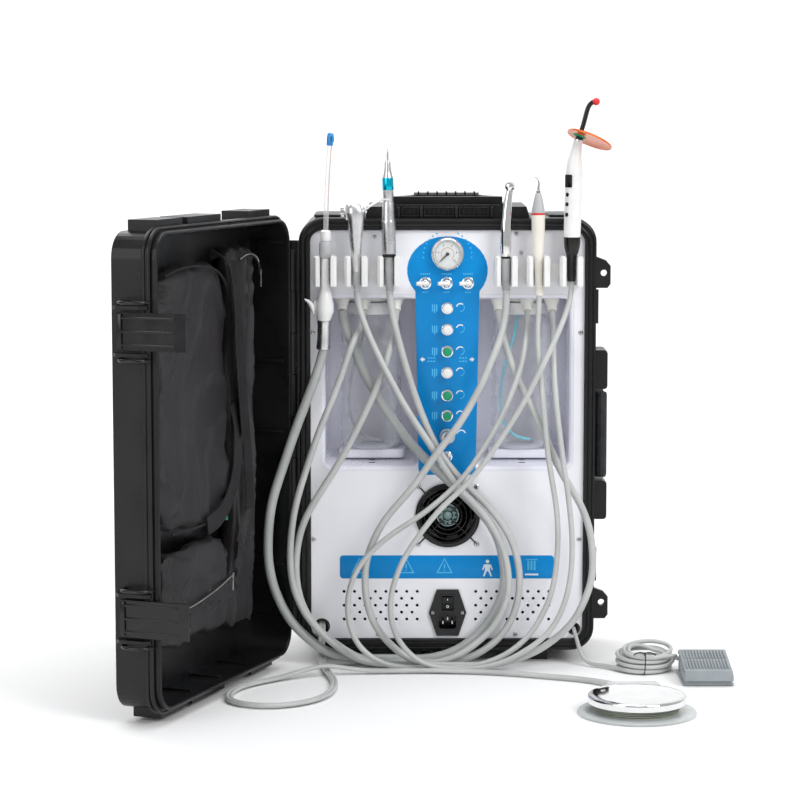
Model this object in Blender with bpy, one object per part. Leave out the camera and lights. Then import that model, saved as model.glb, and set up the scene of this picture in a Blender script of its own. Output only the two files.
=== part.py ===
"""Portable dental delivery unit in a hard case, with an ultrasonic scaler among its handpieces.

The frame is metres, +Z up, and the case's front faces -Y. The origin is on the floor, under the
middle of the case's main body. All driving dimensions below are millimetres and are scaled once,
in publish().
"""
import math

import bmesh
import bpy
import numpy as np
from mathutils import Matrix, Vector

MM = 0.001
GAP = 0.3

# case body
CASE_WIDTH = 376.0
CASE_HEIGHT = 553.0
CASE_BOTTOM = 16.0
CASE_FRONT = -85.0
CASE_BACK = 85.0
CASE_CORNER = 30.0
CASE_WALL = 4.0
RIM_DEPTH = 12.0
LEDGE_WIDTH = 6.0
DECK_HALF_TOP = 100.0
DECK_HALF_FOOT = 107.0
DECK_TOP = 583.0
SKID_WIDTH = 24.0

# lid
HINGE_X = -197.0
HINGE_Y = -85.0
LID_OPEN_DEG = 111.2
LID_DEPTH = 55.0
LID_NEAR = 9.0
LID_FAR = 385.0
KNUCKLE_RADIUS = 6.0
PIN_RADIUS = 2.0
KNUCKLE_LENGTH = 52.0
KNUCKLE_COUNT = 9
LATCH_CENTRES = (457.5, 127.5)
LATCH_HEIGHT = 43.0
LATCH_REACH = 42.0

# front panel
PANEL_HALF = 174.0
PANEL_BOTTOM = 30.0
PANEL_TOP = 554.0
PANEL_FRONT = -80.0
PANEL_THICKNESS = 3.0
PANEL_CORNER = 16.0
BAY_INNER = 37.0
BAY_OUTER = 155.0
BAY_BOTTOM = 253.0
BAY_TOP = 467.0
BAY_BACK = 18.0
BAY_WALL = 2.5
BOTTLE_X = 97.0
BOTTLE_Y = -24.0
BOTTLE_RADIUS = 39.0
OUTLET_X = ((-133.0, -106.2, -65.0), (65.0, 101.0, 133.0))
OUTLET_Y = -73.0
OUTLET_MOUTH = 452.0
OUTLET_RADIUS = 5.0
OUTLET_UP = (0.0, 0.57, 0.82)
FAN_X = 1.0
FAN_Z = 190.0
FAN_RADIUS = 41.0
INLET_Z = 64.0
CABLE_HOLES = ((-160.0, 46.0, 8.0), (163.0, 43.0, 6.0))

# controls on the panel
CONTROL_FACE = PANEL_FRONT - 0.3
GAUGE_Z = 524.0
GAUGE_RADIUS = 21.0
TOGGLE_X = (-28.0, -1.0, 26.0)
TOGGLE_Z = 487.0
KNOBS = ((455.0, "white"), (428.0, "white"), (400.0, "green"),
         (373.0, "white"), (344.0, "green"), (318.0, "green"))
REGULATOR_Z = 292.0

# instrument holders
HOLDER_BOTTOM = 485.0
HOLDER_TOP = 521.0
HOLDER_WIDTH = 29.0
HOLDER_SLOT = 13.0
HOLDER_REACH = 37.0
HOLDER_X = (-154.0, -115.0, -74.0, 73.0, 113.5, 155.0)
AXIS_Y = -101.0

# floor controls
DISC_CENTRE = (219.0, -366.0)
DISC_RADIUS = 58.0
DISC_PLATE_RADIUS = 70.0

COLOURS = {
    "black": ((0.012, 0.012, 0.014), 0.45, 0.0),
    "nylon": ((0.020, 0.019, 0.021), 0.85, 0.0),
    "panel": ((0.78, 0.79, 0.86), 0.30, 0.0),
    "white": ((0.84, 0.84, 0.84), 0.35, 0.0),
    "ivory": ((0.80, 0.77, 0.69), 0.40, 0.0),
    "grey": ((0.42, 0.44, 0.44), 0.50, 0.0),
    "hose": ((0.62, 0.64, 0.62), 0.45, 0.0),
    "green": ((0.02, 0.30, 0.12), 0.40, 0.0),
    "orange": ((0.85, 0.33, 0.03), 0.20, 0.0),
    "clear": ((0.70, 0.73, 0.86), 0.08, 0.0),
    "steel": ((0.72, 0.72, 0.72), 0.20, 1.0),
    "satin": ((0.60, 0.61, 0.62), 0.35, 1.0),
}


# ---------------------------------------------------------------- scene and materials

def clear_scene():
    for existing in list(bpy.data.objects):
        bpy.data.objects.remove(existing, do_unlink=True)


def material(name, kind):
    colour, roughness, metallic = COLOURS[kind]
    made = bpy.data.materials.new(name)
    made.use_nodes = True
    shader = made.node_tree.nodes["Principled BSDF"]
    shader.inputs["Base Color"].default_value = (*colour, 1.0)
    shader.inputs["Roughness"].default_value = roughness
    shader.inputs["Metallic"].default_value = metallic
    return made


def publish(name, shape, kind, parent=None):
    """Turn a bmesh in millimetres into a named object in metres."""
    bmesh.ops.recalc_face_normals(shape, faces=shape.faces)
    bmesh.ops.scale(shape, vec=(MM, MM, MM), verts=shape.verts)
    mesh = bpy.data.meshes.new(name)
    shape.to_mesh(mesh)
    shape.free()
    mesh.shade_smooth()
    mesh.set_sharp_from_angle(angle=math.radians(35))
    made = bpy.data.objects.new(name, mesh)
    made.data.materials.append(material(name + "_finish", kind))
    bpy.context.collection.objects.link(made)
    made.parent = parent
    return made


def combine(first, add=(), cut=()):
    """Boolean union and difference of bmeshes, returned as one bmesh."""
    helpers = []

    def helper(shape):
        bmesh.ops.recalc_face_normals(shape, faces=shape.faces)
        mesh = bpy.data.meshes.new("helper")
        shape.to_mesh(mesh)
        shape.free()
        thing = bpy.data.objects.new("helper", mesh)
        bpy.context.collection.objects.link(thing)
        helpers.append(thing)
        return thing

    body = helper(first)
    steps = [("UNION", shape) for shape in add] + [("DIFFERENCE", shape) for shape in cut]
    for operation, shape in steps:
        modifier = body.modifiers.new("join", "BOOLEAN")
        modifier.operation = operation
        modifier.solver = "EXACT"
        modifier.object = helper(shape)
    evaluated = body.evaluated_get(bpy.context.evaluated_depsgraph_get())
    result = bmesh.new()
    result.from_mesh(evaluated.to_mesh())
    evaluated.to_mesh_clear()
    for thing in helpers:
        bpy.data.objects.remove(thing, do_unlink=True)
    bmesh.ops.remove_doubles(result, verts=result.verts, dist=0.001)
    bmesh.ops.dissolve_degenerate(result, edges=result.edges, dist=0.001)
    return result


# ---------------------------------------------------------------- shapes, in millimetres

def rounded(cx, cz, width, height, radius, steps=4):
    """Outline of a rounded rectangle, counter-clockwise."""
    points = []
    corners = ((1, 1, 0), (-1, 1, 90), (-1, -1, 180), (1, -1, 270))
    for sx, sz, start in corners:
        for i in range(steps + 1):
            angle = math.radians(start + 90 * i / steps)
            points.append((cx + sx * (width / 2 - radius) + radius * math.cos(angle),
                           cz + sz * (height / 2 - radius) + radius * math.sin(angle)))
    return points


def ring_outline(cx, cz, radius, steps=24):
    return [(cx + radius * math.cos(math.tau * i / steps),
             cz + radius * math.sin(math.tau * i / steps)) for i in range(steps)]


def prism(outline, low, high, axis="Y"):
    """Extrude a flat outline along an axis: (x, z) along Y, (x, y) along Z, (y, z) along X."""
    place = {"Y": lambda a, b, c: (a, c, b),
             "Z": lambda a, b, c: (a, b, c),
             "X": lambda a, b, c: (c, a, b)}[axis]
    shape = bmesh.new()
    face = shape.faces.new([shape.verts.new(place(a, b, low)) for a, b in outline])
    grown = bmesh.ops.extrude_face_region(shape, geom=[face])
    moved = [item for item in grown["geom"] if isinstance(item, bmesh.types.BMVert)]
    bmesh.ops.translate(shape, verts=moved, vec=Vector(place(0, 0, high - low)))
    bmesh.ops.recalc_face_normals(shape, faces=shape.faces)
    return shape


def block(x0, x1, y0, y1, z0, z1, bevel=0.0):
    shape = prism([(x0, z0), (x1, z0), (x1, z1), (x0, z1)], y0, y1)
    if bevel:
        bmesh.ops.bevel(shape, geom=list(shape.edges), offset=bevel, segments=2, affect="EDGES",
                        profile=0.5)
    return shape


def turned(profile, origin, axis=(0, 0, 1), sides=16):
    """Solid of revolution. The profile holds (radius, distance along the axis) pairs."""
    turn = Vector((0, 0, 1)).rotation_difference(Vector(axis).normalized()).to_matrix()
    shape = bmesh.new()
    rings = []
    for radius, along in profile:
        count = sides if radius > 0 else 1
        ring = []
        for i in range(count):
            angle = math.tau * i / sides
            spot = Vector((radius * math.cos(angle), radius * math.sin(angle), along))
            ring.append(shape.verts.new(turn @ spot + Vector(origin)))
        rings.append(ring)
    for lower, upper in zip(rings, rings[1:]):
        for i in range(sides):
            j = (i + 1) % sides
            corners = [lower[i % len(lower)], lower[j % len(lower)],
                       upper[j % len(upper)], upper[i % len(upper)]]
            corners = list(dict.fromkeys(corners))
            shape.faces.new(corners)
    for ring in (rings[0], rings[-1]):
        if len(ring) > 1:
            shape.faces.new(ring)
    bmesh.ops.recalc_face_normals(shape, faces=shape.faces)
    return shape


def bent(points, radii, sides=12):
    """Round bar through points, with a radius at each point."""
    spots = [Vector(point) for point in points]
    shape = bmesh.new()
    rings = []
    side = None
    for i, spot in enumerate(spots):
        ahead = spots[min(i + 1, len(spots) - 1)]
        behind = spots[max(i - 1, 0)]
        along = (ahead - behind).normalized()
        if side is None:
            side = along.orthogonal().normalized()
        side = (side - along * side.dot(along)).normalized()
        other = along.cross(side)
        rings.append([shape.verts.new(spot + radii[i] * (math.cos(math.tau * k / sides) * side
                                                         + math.sin(math.tau * k / sides) * other))
                      for k in range(sides)])
    for lower, upper in zip(rings, rings[1:]):
        for k in range(sides):
            j = (k + 1) % sides
            shape.faces.new((lower[k], lower[j], upper[j], upper[k]))
    shape.faces.new(rings[0])
    shape.faces.new(rings[-1])
    bmesh.ops.recalc_face_normals(shape, faces=shape.faces)
    return shape


def smooth_path(points, spacing):
    """Points at an even spacing along a natural cubic spline through the route."""
    route = np.array(points, dtype=float)
    steps = np.linalg.norm(np.diff(route, axis=0), axis=1)
    knots = np.concatenate([[0.0], np.cumsum(steps)])
    count = len(route)
    system = np.eye(count)
    right = np.zeros((count, 3))
    for i in range(1, count - 1):
        before, after = steps[i - 1], steps[i]
        system[i, i - 1] = before
        system[i, i] = 2 * (before + after)
        system[i, i + 1] = after
        right[i] = 6 * ((route[i + 1] - route[i]) / after - (route[i] - route[i - 1]) / before)
    bend = np.linalg.solve(system, right)
    dense = []
    for t in np.linspace(0, knots[-1], 1200):
        i = min(int(np.searchsorted(knots, t, side="right")) - 1, count - 2)
        span = steps[i]
        a = (knots[i + 1] - t) / span
        b = 1 - a
        dense.append(a * route[i] + b * route[i + 1]
                     + ((a ** 3 - a) * bend[i] + (b ** 3 - b) * bend[i + 1]) * span ** 2 / 6)
    dense = np.array(dense)
    run = np.concatenate([[0.0], np.cumsum(np.linalg.norm(np.diff(dense, axis=0), axis=1))])
    total = max(2, round(run[-1] / spacing) + 1)
    return [tuple(np.interp(s, run, dense[:, k]) for k in range(3)) for s in np.linspace(0, run[-1], total)]


def hose(name, route, diameter, kind="hose"):
    """A free hose or cord: a round tube along the smooth curve through its route."""
    curve = bpy.data.curves.new(name, "CURVE")
    curve.dimensions = "3D"
    curve.bevel_depth = diameter / 2 * MM
    curve.bevel_resolution = 2
    curve.resolution_u = 1
    curve.render_resolution_u = 0
    curve.use_fill_caps = True
    points = smooth_path(route, diameter * 3.0)
    spline = curve.splines.new("POLY")
    spline.points.add(len(points) - 1)
    for slot, point in zip(spline.points, points):
        slot.co = (point[0] * MM, point[1] * MM, point[2] * MM, 1.0)
    made = bpy.data.objects.new(name, curve)
    made.data.materials.append(material(name + "_finish", kind))
    bpy.context.collection.objects.link(made)
    return made


# ---------------------------------------------------------------- case body

def case_outline(shrink=0.0):
    return rounded(0, CASE_BOTTOM + CASE_HEIGHT / 2, CASE_WIDTH - 2 * shrink,
                   CASE_HEIGHT - 2 * shrink, CASE_CORNER - 0.6 * shrink, 8)


def knuckle_spans():
    """Alternating hinge knuckles from bottom to top, as (low, high) pairs."""
    pitch = KNUCKLE_LENGTH + 1.0
    start = CASE_BOTTOM + CASE_HEIGHT / 2 - pitch * KNUCKLE_COUNT / 2
    return [(start + i * pitch, start + i * pitch + KNUCKLE_LENGTH) for i in range(KNUCKLE_COUNT)]


def side_lug(z0, z1, hole_z):
    """Padlock lug on the right side, with its chamfer and hole."""
    x0 = CASE_WIDTH / 2 - 1
    outline = [(x0, z0), (x0 + 15, z0), (x0 + 19, z0 + 5), (x0 + 19, z1 - 12), (x0 + 13, z1 - 5), (x0, z1)]
    plate = prism(outline, CASE_FRONT + 1, CASE_FRONT + 9)
    hole = prism(ring_outline(x0 + 10.5, hole_z, 4.2, 12), CASE_FRONT - 5, CASE_FRONT + 15)
    return combine(plate, cut=[hole])


def side_bracket(z0, z1):
    """Bracket block that carries one end of the side handle."""
    x0 = CASE_WIDTH / 2 - 1
    outline = rounded(x0 + 9.0, (z0 + z1) / 2, 18.0, z1 - z0, 4.0, 2)
    return prism(outline, -62.0, -12.0)


def build_base():
    shell = prism(case_outline(), CASE_FRONT, CASE_BACK)
    half = PANEL_HALF + GAP
    middle = (PANEL_BOTTOM + PANEL_TOP) / 2
    tall = PANEL_TOP - PANEL_BOTTOM + 2 * GAP
    panel_back = PANEL_FRONT + PANEL_THICKNESS + GAP
    rebate = prism(rounded(0, middle, 2 * half, tall, PANEL_CORNER), CASE_FRONT - 5, panel_back)
    window = prism(rounded(0, middle, 2 * (half - LEDGE_WIDTH), tall - 2 * LEDGE_WIDTH, PANEL_CORNER - 4),
                   CASE_FRONT - 5, CASE_FRONT + RIM_DEPTH + 5)
    cavity = prism(case_outline(CASE_WALL), CASE_FRONT + RIM_DEPTH, CASE_BACK - CASE_WALL)
    deck = prism([(-DECK_HALF_FOOT, 560), (DECK_HALF_FOOT, 560), (DECK_HALF_TOP, DECK_TOP),
                  (-DECK_HALF_TOP, DECK_TOP)], -70.0, 70.0)
    deck_recess = block(-74, 74, -60, 45, DECK_TOP - 12, DECK_TOP + 10)
    skids = [block(x - SKID_WIDTH / 2, x + SKID_WIDTH / 2, -66, 70, 0, CASE_BOTTOM + 2)
             for x in (-118.0, 0.0, 118.0)]
    right_side = [side_lug(481, 521, 500), side_lug(57, 97, 78),
                  side_bracket(350, 400), side_bracket(182, 232)]
    catches = [block(CASE_WIDTH / 2 - 1, CASE_WIDTH / 2 + 3, CASE_FRONT + 1, CASE_FRONT + 9,
                     z - LATCH_HEIGHT / 2, z + LATCH_HEIGHT / 2) for z in LATCH_CENTRES]
    hinge = []
    for low, high in knuckle_spans()[0::2]:
        hinge.append(turned([(KNUCKLE_RADIUS, low), (KNUCKLE_RADIUS, high)], (HINGE_X, HINGE_Y, 0),
                            sides=12))
        hinge.append(block(HINGE_X + 1.5, -CASE_WIDTH / 2 + 2, CASE_FRONT, CASE_FRONT + 6, low, high))
    low, high = knuckle_spans()[0][0] + 2, knuckle_spans()[-1][1] - 2
    pin = turned([(PIN_RADIUS, low), (PIN_RADIUS, high)], (HINGE_X, HINGE_Y, 0), sides=8)
    ribs = [block(-CASE_WIDTH / 2 - 3, -CASE_WIDTH / 2 + 3, y - 5, y + 5, 60, 525)
            for y in (-20.0, 30.0)]
    shell = combine(shell, add=[deck], cut=[rebate, window, cavity, deck_recess])
    shell = combine(shell, add=skids + right_side + catches + hinge + ribs + [pin])
    return publish("base_shell", shell, "black")


def build_top_handle():
    """Folding carry handle, hinged at the front of the deck and lying back when at rest."""
    top = DECK_TOP + 7.0
    outline = [(-70, -52), (70, -52), (70, -40), (45, 8), (45, 22), (-45, 22), (-45, 8), (-70, -40)]
    hole = [(-55, -38), (55, -38), (38, 4), (-38, 4)]
    frame = prism(outline, DECK_TOP - 7.0, top + 5, "Z")
    gap = prism(hole, DECK_TOP - 20, top + 20, "Z")
    grip = turned([(8, -42), (8, 42)], (0, 14, top), (1, 0, 0), 12)
    ribs = [block(x - 1, x + 1, 5.5, 22.5, top - 8, top + 9.5) for x in range(-36, 37, 12)]
    handle = combine(frame, add=[grip] + ribs, cut=[gap])
    return publish("top_handle", handle, "black")


def build_side_handle():
    """Side carry handle, hinged on a vertical pin through the two brackets."""
    x0 = CASE_WIDTH / 2 + 9.0
    grip = turned([(7.2, 236.5), (8.2, 240), (8.2, 342), (7.2, 345.5)], (x0, -54, 0), sides=12)
    arms = []
    for low, high in ((236.5, 246.0), (336.0, 345.5)):
        arms.append(block(x0 - 5, x0 + 5, -54, -18, low, high))
        arms.append(turned([(6, low), (6, high)], (x0, -18, 0), sides=12))
    return publish("side_handle", combine(grip, add=arms), "grey")


# ---------------------------------------------------------------- lid, drawn closed and turned open

def lid_outline(shrink=0.0):
    return [(x + (LID_NEAR + LID_FAR) / 2, z) for x, z in case_outline(shrink)]


def build_lid(hinge_empty):
    """The lid's own axes: X runs from the hinge to the free edge, -Y points out of the case."""
    shell = prism(lid_outline(), -LID_DEPTH, 0.0)
    cavity = prism(lid_outline(CASE_WALL), -LID_DEPTH + CASE_WALL, 5.0)
    bead = prism(lid_outline(-3.0), -14.0, -6.0)
    top = CASE_BOTTOM + CASE_HEIGHT
    lugs = []
    for centre, half in ((72.0, 32.0), (197.0, 14.0), (240.0, 34.0), (322.0, 34.0)):
        lugs.append(block(centre - half, centre + half, -48, -12, top - 3, top + 13))
        lugs.append(block(centre - half, centre + half, -48, -12, 4, CASE_BOTTOM + 3))
    fins = []
    for centre in LATCH_CENTRES:
        for offset in (-27.0, 27.0):
            outline = [(LID_FAR - 2, -50), (LID_FAR + 8, -50), (LID_FAR + 13, -44), (LID_FAR + 13, -14),
                       (LID_FAR + 8, -6), (LID_FAR - 2, -6)]
            z = centre + offset
            fins.append(prism(outline, z - 2, z + 2, "Z"))
    knuckles = []
    bores = []
    for low, high in knuckle_spans()[1::2]:
        knuckles.append(turned([(KNUCKLE_RADIUS, low), (KNUCKLE_RADIUS, high)], (0, 0, 0), sides=12))
        knuckles.append(block(1.5, LID_NEAR + 2, -7, -1.5, low, high))
        bores.append(turned([(PIN_RADIUS + 0.8, low - 2), (PIN_RADIUS + 0.8, high + 2)], (0, 0, 0),
                            sides=8))
    shell = combine(shell, add=[bead] + lugs + fins + knuckles, cut=[cavity] + bores)
    publish("lid_shell", shell, "black", hinge_empty)

    for name, centre in zip(("latch_upper", "latch_lower"), LATCH_CENTRES):
        low, high = centre - LATCH_HEIGHT / 2, centre + LATCH_HEIGHT / 2
        outline = [(LID_FAR + 3.4, -44), (LID_FAR + 9.5, -44), (LID_FAR + 10.5, -20), (LID_FAR + 10.5, 30),
                   (LID_FAR + 8, LATCH_REACH), (LID_FAR + 4.5, LATCH_REACH), (LID_FAR + 6, 10),
                   (LID_FAR + 3.4, -4)]
        publish(name, prism(outline, low, high, "Z"), "black", hinge_empty)

    bag = prism(rounded(249, 367.5, 206, 325, 42), -46.0, -12.0)
    bmesh.ops.bevel(bag, geom=[e for e in bag.edges if abs(e.verts[0].co.y - e.verts[1].co.y) < 1e-3],
                    offset=8, segments=2, affect="EDGES", profile=0.5)
    publish("tool_bag", bag, "nylon", hinge_empty)
    organiser = prism([(52, 54), (146, 54), (146, 72), (345, 72), (345, 188), (330, 198), (142, 198),
                       (142, 524), (132, 530), (60, 530), (52, 520)], -48.0, -20.0)
    publish("lid_organiser", organiser, "nylon", hinge_empty)


# ---------------------------------------------------------------- front panel and what is fixed to it

def build_panel():
    middle = (PANEL_BOTTOM + PANEL_TOP) / 2
    back = PANEL_FRONT + PANEL_THICKNESS
    plate = prism(rounded(0, middle, 2 * PANEL_HALF, PANEL_TOP - PANEL_BOTTOM, PANEL_CORNER),
                  PANEL_FRONT, back)
    bay_centre = (BAY_INNER + BAY_OUTER) / 2
    bay_width = BAY_OUTER - BAY_INNER
    bay_tall = BAY_TOP - BAY_BOTTOM
    bay_mid = (BAY_TOP + BAY_BOTTOM) / 2
    boxes = []
    hollows = []
    outlets = []
    for side, places in zip((-1, 1), OUTLET_X):
        boxes.append(prism(rounded(side * bay_centre, bay_mid, bay_width + 2 * BAY_WALL,
                                   bay_tall + 2 * BAY_WALL, 10, 3), back - 1, BAY_BACK + BAY_WALL))
        hollows.append(prism(rounded(side * bay_centre, bay_mid, bay_width, bay_tall, 8, 3),
                             PANEL_FRONT - 5, BAY_BACK))
        for x in places:
            outlets.append(turned([(OUTLET_RADIUS, 0), (OUTLET_RADIUS + 1.5, 8), (OUTLET_RADIUS + 2.2, 21)],
                                  (x, OUTLET_Y, OUTLET_MOUTH), OUTLET_UP, 12))
    fan_hole = prism(ring_outline(FAN_X, FAN_Z, 37.5), PANEL_FRONT - 5, back + 5)
    inlet_hole = block(FAN_X - 15, FAN_X + 15, PANEL_FRONT - 5, back + 5, INLET_Z - 24, INLET_Z + 24)
    cable_holes = [prism(ring_outline(x, z, radius, 12), PANEL_FRONT - 5, back + 5)
                   for x, z, radius in CABLE_HOLES]
    panel = combine(plate, add=boxes, cut=hollows + [fan_hole, inlet_hole] + cable_holes)
    panel = combine(panel, add=outlets)
    publish("front_panel", panel, "panel")


def build_bottles():
    for name, side in (("bottle_left", -1), ("bottle_right", 1)):
        profile = [(0, 272), (30, 272), (BOTTLE_RADIUS, 282), (BOTTLE_RADIUS, 425), (33, 440), (30, 446),
                   (33.5, 446), (33.5, 460), (0, 460)]
        publish(name, turned(profile, (side * BOTTLE_X, BOTTLE_Y, 0), sides=24), "clear")


def build_gauge():
    face = CONTROL_FACE
    case = turned([(GAUGE_RADIUS, 0), (GAUGE_RADIUS, 9), (GAUGE_RADIUS - 1.5, 10.5),
                   (GAUGE_RADIUS - 3, 10.5), (GAUGE_RADIUS - 3, 6), (0, 6)], (0, face, GAUGE_Z),
                  (0, -1, 0), 32)
    publish("gauge_case", case, "steel")
    hub = turned([(2.2, 6.4), (2.2, 8.4)], (0, face, GAUGE_Z), (0, -1, 0), 12)
    hand = prism([(-1.2, -1.5), (1.2, -1.5), (0.4, 14), (-0.4, 14)], -0.5, 0.5)
    turn = Matrix.Rotation(math.radians(-135), 3, "Y")
    bmesh.ops.rotate(hand, verts=hand.verts, cent=(0, 0, 0), matrix=turn)
    bmesh.ops.translate(hand, verts=hand.verts, vec=(0, face - 7.6, GAUGE_Z))
    publish("gauge_needle", combine(hub, add=[hand]), "black")


def build_controls():
    for number, x in enumerate(TOGGLE_X, 1):
        lever = bent([(x, CONTROL_FACE, TOGGLE_Z), (x, CONTROL_FACE - 8, TOGGLE_Z),
                      (x - 4, CONTROL_FACE - 14, TOGGLE_Z), (x - 10, CONTROL_FACE - 17, TOGGLE_Z)],
                     [5.5, 5.5, 3.6, 2.6])
        publish(f"toggle_{number}", lever, "steel")
    for number, (z, kind) in enumerate(KNOBS, 1):
        radius = 6.5 if kind == "white" else 5.8
        profile = [(radius - 0.8, 0), (radius, 1), (radius, 10), (radius - 1.2, 12), (0, 12)]
        publish(f"knob_{number}", turned(profile, (0, CONTROL_FACE, z), (0, -1, 0)), kind)
    profile = [(10.5, 0), (10.5, 4), (8.5, 5), (8.5, 14), (7, 15), (0, 15)]
    publish("regulator_knob", turned(profile, (0, CONTROL_FACE, REGULATOR_Z), (0, -1, 0), 20), "satin")


def build_fan():
    back = PANEL_FRONT + PANEL_THICKNESS
    ring = prism(ring_outline(FAN_X, FAN_Z, FAN_RADIUS, 28), CONTROL_FACE - 4, CONTROL_FACE)
    bore = prism(ring_outline(FAN_X, FAN_Z, 35.2, 28), CONTROL_FACE - 10, back + 30)
    sleeve = prism(ring_outline(FAN_X, FAN_Z, 36.8, 28), CONTROL_FACE - 1, back + 18)
    near, far = CONTROL_FACE - 3.5, CONTROL_FACE - 1.5
    spokes = [block(FAN_X - 38, FAN_X + 38, near, far, FAN_Z - 1.2, FAN_Z + 1.2),
              block(FAN_X - 1.2, FAN_X + 1.2, near, far, FAN_Z - 38, FAN_Z + 38)]
    hub = prism(ring_outline(FAN_X, FAN_Z, 15, 16), near, far)
    frame = combine(ring, add=[sleeve], cut=[bore])
    frame = combine(frame, add=spokes + [hub])
    publish("fan_frame", frame, "black")

    low, high = CONTROL_FACE + 1.5, back + 16
    rotor = prism(ring_outline(FAN_X, FAN_Z, 15, 16), low, high)
    blades = []
    for number in range(7):
        blade = block(12, 33.5, -8.5, 8.5, -0.9, 0.9)
        bmesh.ops.rotate(blade, verts=blade.verts, cent=(0, 0, 0),
                         matrix=Matrix.Rotation(math.radians(38), 3, "X"))
        turn = Matrix.Rotation(math.tau * number / 7, 3, "Y")
        bmesh.ops.rotate(blade, verts=blade.verts, cent=(0, 0, 0), matrix=turn)
        bmesh.ops.translate(blade, verts=blade.verts, vec=(FAN_X, (low + high) / 2, FAN_Z))
        blades.append(blade)
    publish("fan_rotor", combine(rotor, add=blades), "black")


def build_inlet():
    face = CONTROL_FACE
    outline = [(FAN_X - 24, INLET_Z), (FAN_X - 14, INLET_Z - 30), (FAN_X + 14, INLET_Z - 30),
               (FAN_X + 24, INLET_Z), (FAN_X + 14, INLET_Z + 30), (FAN_X - 14, INLET_Z + 30)]
    flange = prism(outline, face - 3, face)
    body = block(FAN_X - 14.5, FAN_X + 14.5, face - 1, face + 32, INLET_Z - 23.5, INLET_Z + 23.5)
    socket = block(FAN_X - 11, FAN_X + 11, face - 9, face + 18, INLET_Z - 21, INLET_Z - 3)
    pocket = block(FAN_X - 8, FAN_X + 8, face - 9, face + 8, INLET_Z + 3, INLET_Z + 22)
    pins = [block(FAN_X + x - 1, FAN_X + x + 1, face + 2, face + 20, INLET_Z - 12 + z - 2,
                  INLET_Z - 12 + z + 2) for x, z in ((-6, -1), (0, 4), (6, -1))]
    inlet = combine(flange, add=[body], cut=[socket, pocket])
    publish("power_inlet", combine(inlet, add=pins), "black")
    middle = INLET_Z + 12.5
    rocker = prism([(face - 3.0, middle + 7.6), (face - 1.2, middle), (face - 4.6, middle - 7.6),
                    (face + 2.5, middle - 6), (face + 4.5, middle), (face + 2.5, middle + 6)],
                   FAN_X - 7, FAN_X + 7, "X")
    publish("rocker_switch", rocker, "black")


def build_holders():
    for name, places in (("holder_left", HOLDER_X[:3]), ("holder_right", HOLDER_X[3:])):
        rail_low, rail_high = places[0] - 12, places[-1] + 12
        rail = block(rail_low, rail_high, CONTROL_FACE - 3, CONTROL_FACE, HOLDER_BOTTOM + 8, HOLDER_TOP - 8)
        forks = []
        for x in places:
            half, slot = HOLDER_WIDTH / 2, HOLDER_SLOT / 2
            front = CONTROL_FACE - HOLDER_REACH
            outline = [(x - half, CONTROL_FACE), (x - half, front + 4), (x - half + 3, front),
                       (x - slot - 1, front), (x - slot, front + 3), (x - slot, AXIS_Y + 6),
                       (x - slot + 3, AXIS_Y + 9), (x + slot - 3, AXIS_Y + 9), (x + slot, AXIS_Y + 6),
                       (x + slot, front + 3), (x + slot + 1, front), (x + half - 3, front),
                       (x + half, front + 4), (x + half, CONTROL_FACE)]
            forks.append(prism(outline, HOLDER_BOTTOM, HOLDER_TOP, "Z"))
        publish(name, combine(rail, add=forks), "white")


# ---------------------------------------------------------------- instruments

def build_suction():
    x = HOLDER_X[0]
    valve = bent([(x - 2.5, AXIS_Y, 406.3), (x - 1.5, AXIS_Y, 436), (x - 1.2, AXIS_Y, 439),
                  (x - 1.0, AXIS_Y, 449), (x - 0.5, AXIS_Y, 466), (x, AXIS_Y, 483), (x, AXIS_Y, 519),
                  (x, AXIS_Y, 523), (x + 0.5, AXIS_Y, 541), (x + 0.6, AXIS_Y, 542),
                  (x + 0.8, AXIS_Y, 554)], [8.2, 8.0, 10.8, 11.8, 9.5, 4.6, 4.6, 7.2, 8.2, 7.0, 6.8], 16)
    publish("suction_valve", valve, "white")
    base = Vector((x - 15.3, AXIS_Y, 459))
    lever = bent([base + Vector((0, 0, -6)), base + Vector((-3, 0, 2)), base + Vector((-10, -1, 7))],
                 [2.4, 3.0, 1.8], 8)
    publish("suction_lever", lever, "white")
    tube = bent([(x + 0.9, AXIS_Y, 554.4), (x + 2.5, AXIS_Y, 600), (x + 5.5, AXIS_Y, 650),
                 (x + 6.5, AXIS_Y, 662), (x + 7.5, AXIS_Y, 676)], [3.3, 3.3, 3.3, 4.1, 4.1], 12)
    publish("saliva_ejector", tube, "clear")


def build_syringe():
    x = HOLDER_X[1]
    body = bent([(x + 1.0, AXIS_Y, 481), (x + 0.8, AXIS_Y, 500), (x + 0.2, AXIS_Y, 521.5),
                 (x - 0.5, AXIS_Y, 548), (x + 0.3, AXIS_Y, 566), (x - 1.0, AXIS_Y, 577),
                 (x + 0.5, AXIS_Y, 584), (x + 1.0, AXIS_Y, 588)],
                [4.6, 4.9, 5.7, 8.2, 10.6, 12.2, 10.4, 5.5], 16)
    publish("syringe_body", body, "satin")
    nozzle = bent([(x + 13.2, AXIS_Y - 4.4, 582.8), (x + 20, AXIS_Y - 6, 587.0),
                   (x + 28, AXIS_Y - 7.5, 591.6), (x + 33, AXIS_Y - 8.5, 593),
                   (x + 42, AXIS_Y - 10, 593.2)], [2.4, 1.5, 1.5, 1.4, 1.2], 8)
    publish("syringe_nozzle", nozzle, "steel")
    for name, height in (("air_button", 581.5), ("water_button", 573.5)):
        button = turned([(3.2, 0), (3.2, 3.5), (2.4, 4.5)], (x - 15.0, AXIS_Y, height), (-1, 0, 0), 12)
        publish(name, button, "satin")


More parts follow.
